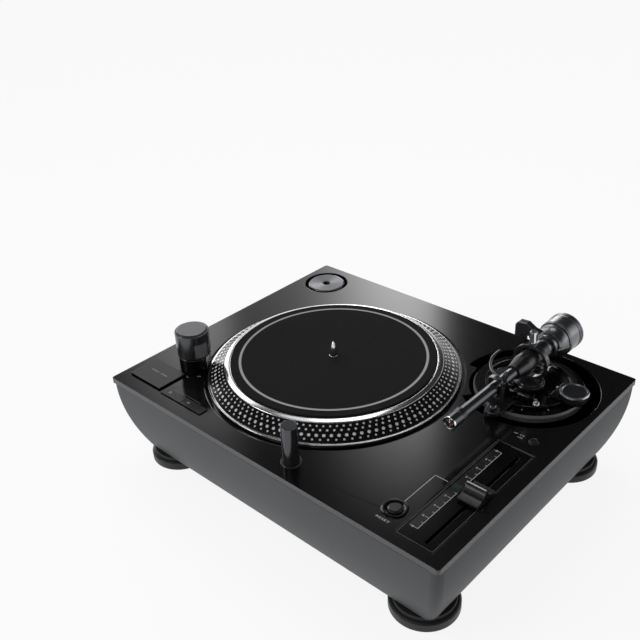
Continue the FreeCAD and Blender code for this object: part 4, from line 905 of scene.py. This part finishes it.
def buildWeight():
    low, high = span("counterweight")
    long = high.y - low.y
    radius = weight["radius"]
    start = weight["bodyAt"]
    grip = weight["gripAt"]
    outer, inner = radius - 0.1, radius - 0.7
    rows = [weight["rowStep"] * row for row in range(weight["rows"])]
    bm = spinProfile([
        (weight["hollow"], 0), (weight["ring"], 0), (weight["ring"], weight["ringLong"]),
        (weight["neck"], weight["ringLong"]), (weight["neck"], start),
        (radius - 1.1, start), (radius - 0.6, start + 0.4), (radius - 0.6, start + 1.6),
        (radius - 0.2, start + 2), (radius - 0.2, grip),
        (inner, grip + 0.2), (inner, grip + 0.5), *((outer, grip + 0.7 + row) for row in rows),
        (inner, grip + 3.2), (inner, grip + 3.6), *((outer, grip + 3.8 + row) for row in rows),
        (radius - 1, long), (weight["bore"], long),
        (weight["bore"], weight["hollowEnd"]), (weight["hollow"], weight["hollowEnd"]),
    ], weight["steps"], closed=True)
    addGrip(bm, grip + 0.7, long - 0.6, radius - 0.3, weight["rib"], weight["ribDepth"])
    place(bm, (armAxis.x, low.y, armAxis.z), "back")
    makePiece("counterweightBody", bm, bodyOf["counterweight"], ["dark"], ["counterweight"])


dial = {
    "radius": 14.6, "flare": ((11.1, 0), (13.1, 2.6), (14.2, 5.4), (14.6, 8)), "inner": 9.3, "steps": 120,
    "tick": 1.6, "shortTick": 0.6, "tickAt": 8, "tickWide": 0.3, "between": 5,
    "numbers": 8, "numberAt": 3.4, "numberRadius": 13.5, "numberWide": 1.7, "lean": 20,
}


def buildDial():
    low, high = span("force_dial")
    long = high.y - low.y
    radius = dial["radius"]
    bm = spinProfile([
        (dial["inner"], 0), *dial["flare"], (radius, long - 0.4), (radius - 0.4, long), (dial["inner"], long),
    ], dial["steps"], closed=True)
    easeEdges(bm, 0.15, 2, 50)
    place(bm, (armAxis.x, low.y, armAxis.z), "back")
    makePiece("forceDialRing", bm, bodyOf["force_dial"], ["dark"], ["force_dial"])
    axis = Matrix.Translation(Vector((armAxis.x, 0, armAxis.z)) * mm)
    count = dial["numbers"] * dial["between"]
    bm = bmesh.new()
    for number in range(count):
        reach = dial["tick"] * (dial["shortTick"] if number % dial["between"] else 1)
        tick = boxMesh((0, low.y + dial["tickAt"] + reach / 2, radius), (dial["tickWide"], reach, 0.1))
        turn = Matrix.Rotation(fullTurn * number / count, 4, "Y")
        bmesh.ops.transform(tick, matrix=axis @ turn, verts=tick.verts)
        joinMesh(bm, tick)
    makePiece("forceDialTicks", bm, bodyOf["force_dial"], ["ink"])
    spot = (Matrix.Translation(Vector((0, low.y + dial["numberAt"], dial["numberRadius"])) * mm)
            @ Matrix.Rotation(math.radians(dial["lean"]), 4, "X") @ Matrix.Rotation(math.pi, 4, "Z"))
    for number in range(0, dial["numbers"], 2):
        turn = Matrix.Rotation(fullTurn * number / dial["numbers"], 4, "Y")
        addWords("forceNumber%d" % number, str(number // 2), dial["numberWide"], axis @ turn @ spot,
                 bodyOf["force_dial"])


def paintInside():
    inside = {
        "motor_stator": "winding", "bearing_housing": "nickel", "main_board": "board", "power_supply": "iron",
        "fader_body": "board",
    }
    for node, paint in inside.items():
        item = frame["nodes"][node]
        item.data.materials.clear()
        item.data.materials.append(finish[paint])


buildCase()
print("case built")
buildPlatter()
buildMat()
buildSpindle()
buildAdapter()
print("platter, mat and adapter built")
buildKeys()
buildTower()
buildTarget()
buildReset()
buildPitch()
print("controls built")
buildArmBase()
buildTonearm()
paintInside()
print("tonearm built")


# Light boxes round the deck by heading and height in degrees: each gives where it starts to glow,
# is full, starts to fade and has gone.
studio = {
    "floor": 5.0, "paper": "#f2f2f2", "paperGlow": 0.88, "fill": (0.95, 0.12), "ceiling": 0.03,
    "boxes": (
        ("backdrop", (-181, -180, 180, 181), (-91, -90, 4, 21), 0.95),
        ("windowBox", (124.4, 126.2, 126.5, 136.2), (-1, 0, 29.5, 45), 4.6),
        ("leftWall", (126, 131, 133, 146), (-1, 0, 29, 38), 0.9),
        ("leftBox", (140.4, 142.2, 143.5, 152), (18, 25, 30, 41), 1.9),
        ("bigSoftbox", (152, 156, 176, 184), (-1, 2, 46, 51), 2.6),
        ("topStrip", (150, 158, 172, 182), (58, 62, 72, 80), 1.0),
        ("rightCard", (0, 8, 66, 76), (-2, 2, 18, 36), 1.1),
        ("frontStrip", (-120, -105, -70, -60), (30, 38, 55, 62), 0.8),
    ),
    "lights": (
        ("overheadSoftbox", (-0.25, 0.35, 1.3), (0.5, 0.4), 2.0),
        ("frontLeftSoftbox", (-0.7, -1.2, 0.45), (0.5, 0.5), 5.0),
    ),
}


def addWindow(tree, value, edges):
    soft = {"interpolation_type": "SMOOTHSTEP"}
    rising = addNode(tree, "MapRange", {**soft, 1: edges[0], 2: edges[1]}, {0: value})
    fading = addNode(tree, "MapRange", {**soft, 1: edges[2], 2: edges[3], 3: 1.0, 4: 0.0}, {0: value})
    both = addNode(tree, "Math", {"operation": "MULTIPLY"}, {0: rising.outputs[0], 1: fading.outputs[0]})
    return both.outputs[0]


# What mirrors see of the studio: a dark room with the light boxes in it.
def addRoom(tree):
    heading = addNode(tree, "SeparateXYZ", {}, {0: addNode(tree, "TexCoord").outputs["Generated"]})
    turn = addNode(tree, "Math", {"operation": "ARCTAN2"}, {0: heading.outputs[1], 1: heading.outputs[0]})
    rise = addNode(tree, "Math", {"operation": "ARCSINE"}, {0: heading.outputs[2]})
    turn, rise = (addNode(tree, "Math", {"operation": "DEGREES"}, {0: angle.outputs[0]}).outputs[0]
                  for angle in (turn, rise))
    total = None
    for name, across, upright, strength in studio["boxes"]:
        share = addNode(tree, "Math", {"operation": "MULTIPLY"},
                        {0: addWindow(tree, turn, across), 1: addWindow(tree, rise, upright)})
        level = addNode(tree, "Math", {"operation": "MULTIPLY_ADD", 1: strength, 2: studio["ceiling"]},
                        {0: share.outputs[0]})
        level.label = name
        if total:
            tree.links.new(total, level.inputs[2])
        total = level.outputs[0]
    return addNode(tree, "Background", {"Color": (1, 1, 1, 1)}, {"Strength": total})


def addWorld(scene):
    world = bpy.data.worlds.new("studio")
    scene.world = world
    world.use_nodes = True
    tree = world.node_tree
    tree.nodes.clear()
    rays = addNode(tree, "LightPath")
    seen = addNode(tree, "Math", {"operation": "MAXIMUM"},
                   {0: rays.outputs["Is Camera Ray"], 1: rays.outputs["Is Transmission Ray"]})
    white = addNode(tree, "Background", {"Color": (1, 1, 1, 1), "Strength": 1.0})
    side = addNode(tree, "SeparateXYZ", {}, {0: addNode(tree, "TexCoord").outputs["Generated"]})
    shade = addNode(tree, "MapRange", {1: -1.0, 2: 1.0, 3: studio["fill"][0], 4: studio["fill"][1]},
                    {0: side.outputs[0]})
    fill = addNode(tree, "Background", {"Color": (1, 1, 1, 1)}, {"Strength": shade.outputs[0]})
    room = addRoom(tree)
    unseen = addNode(tree, "MixShader", {},
                     {0: rays.outputs["Is Diffuse Ray"], 1: room.outputs[0], 2: fill.outputs[0]})
    mixed = addNode(tree, "MixShader", {}, {0: seen.outputs[0], 1: unseen.outputs[0], 2: white.outputs[0]})
    addNode(tree, "OutputWorld", {}, {"Surface": mixed.outputs[0]})


# White paper: seen and mirrored it is nearly white and still takes a faint shadow, and its
# whiteness throws no light on the deck.
def addPaper(scene):
    bm = bmesh.new()
    bmesh.ops.create_grid(bm, x_segments=1, y_segments=1, size=studio["floor"])
    mesh = bpy.data.meshes.new("paperFloor")
    bm.to_mesh(mesh)
    bm.free()
    floor = bpy.data.objects.new("paperFloor", mesh)
    scene.collection.objects.link(floor)
    paper = bpy.data.materials.new("studioPaper")
    paper.use_nodes = True
    tree = paper.node_tree
    tree.nodes.clear()
    diffuse = addNode(tree, "BsdfDiffuse", {"Color": linear(studio["paper"])})
    glow = addNode(tree, "Emission", {"Color": (1, 1, 1, 1), "Strength": 1.0})
    rays = addNode(tree, "LightPath")
    mirrored = addNode(tree, "Math", {"operation": "MAXIMUM"},
                       {0: rays.outputs["Is Glossy Ray"], 1: rays.outputs["Is Transmission Ray"]})
    shown = addNode(tree, "Math", {"operation": "MAXIMUM"},
                    {0: rays.outputs["Is Camera Ray"], 1: mirrored.outputs[0]})
    share = addNode(tree, "Math", {"operation": "MULTIPLY", 1: studio["paperGlow"]}, {0: shown.outputs[0]})
    mixed = addNode(tree, "MixShader", {}, {0: share.outputs[0], 1: diffuse.outputs[0], 2: glow.outputs[0]})
    addNode(tree, "OutputMaterial", {}, {"Surface": mixed.outputs[0]})
    mesh.materials.append(paper)


def addStudio():
    scene = bpy.context.scene
    scene.view_settings.view_transform = "Standard"
    addWorld(scene)
    addPaper(scene)
    for name, spot, size, power in studio["lights"]:
        data = bpy.data.lights.new(name, "AREA")
        data.shape = "RECTANGLE"
        data.size, data.size_y = size
        data.energy = power
        lamp = bpy.data.objects.new(name, data)
        scene.collection.objects.link(lamp)
        lamp.location = spot
        lamp.rotation_mode = "QUATERNION"
        lamp.rotation_quaternion = (Vector((0, 0, 0.06)) - Vector(spot)).to_track_quat("-Z", "Y")


addStudio()
print("studio lit")
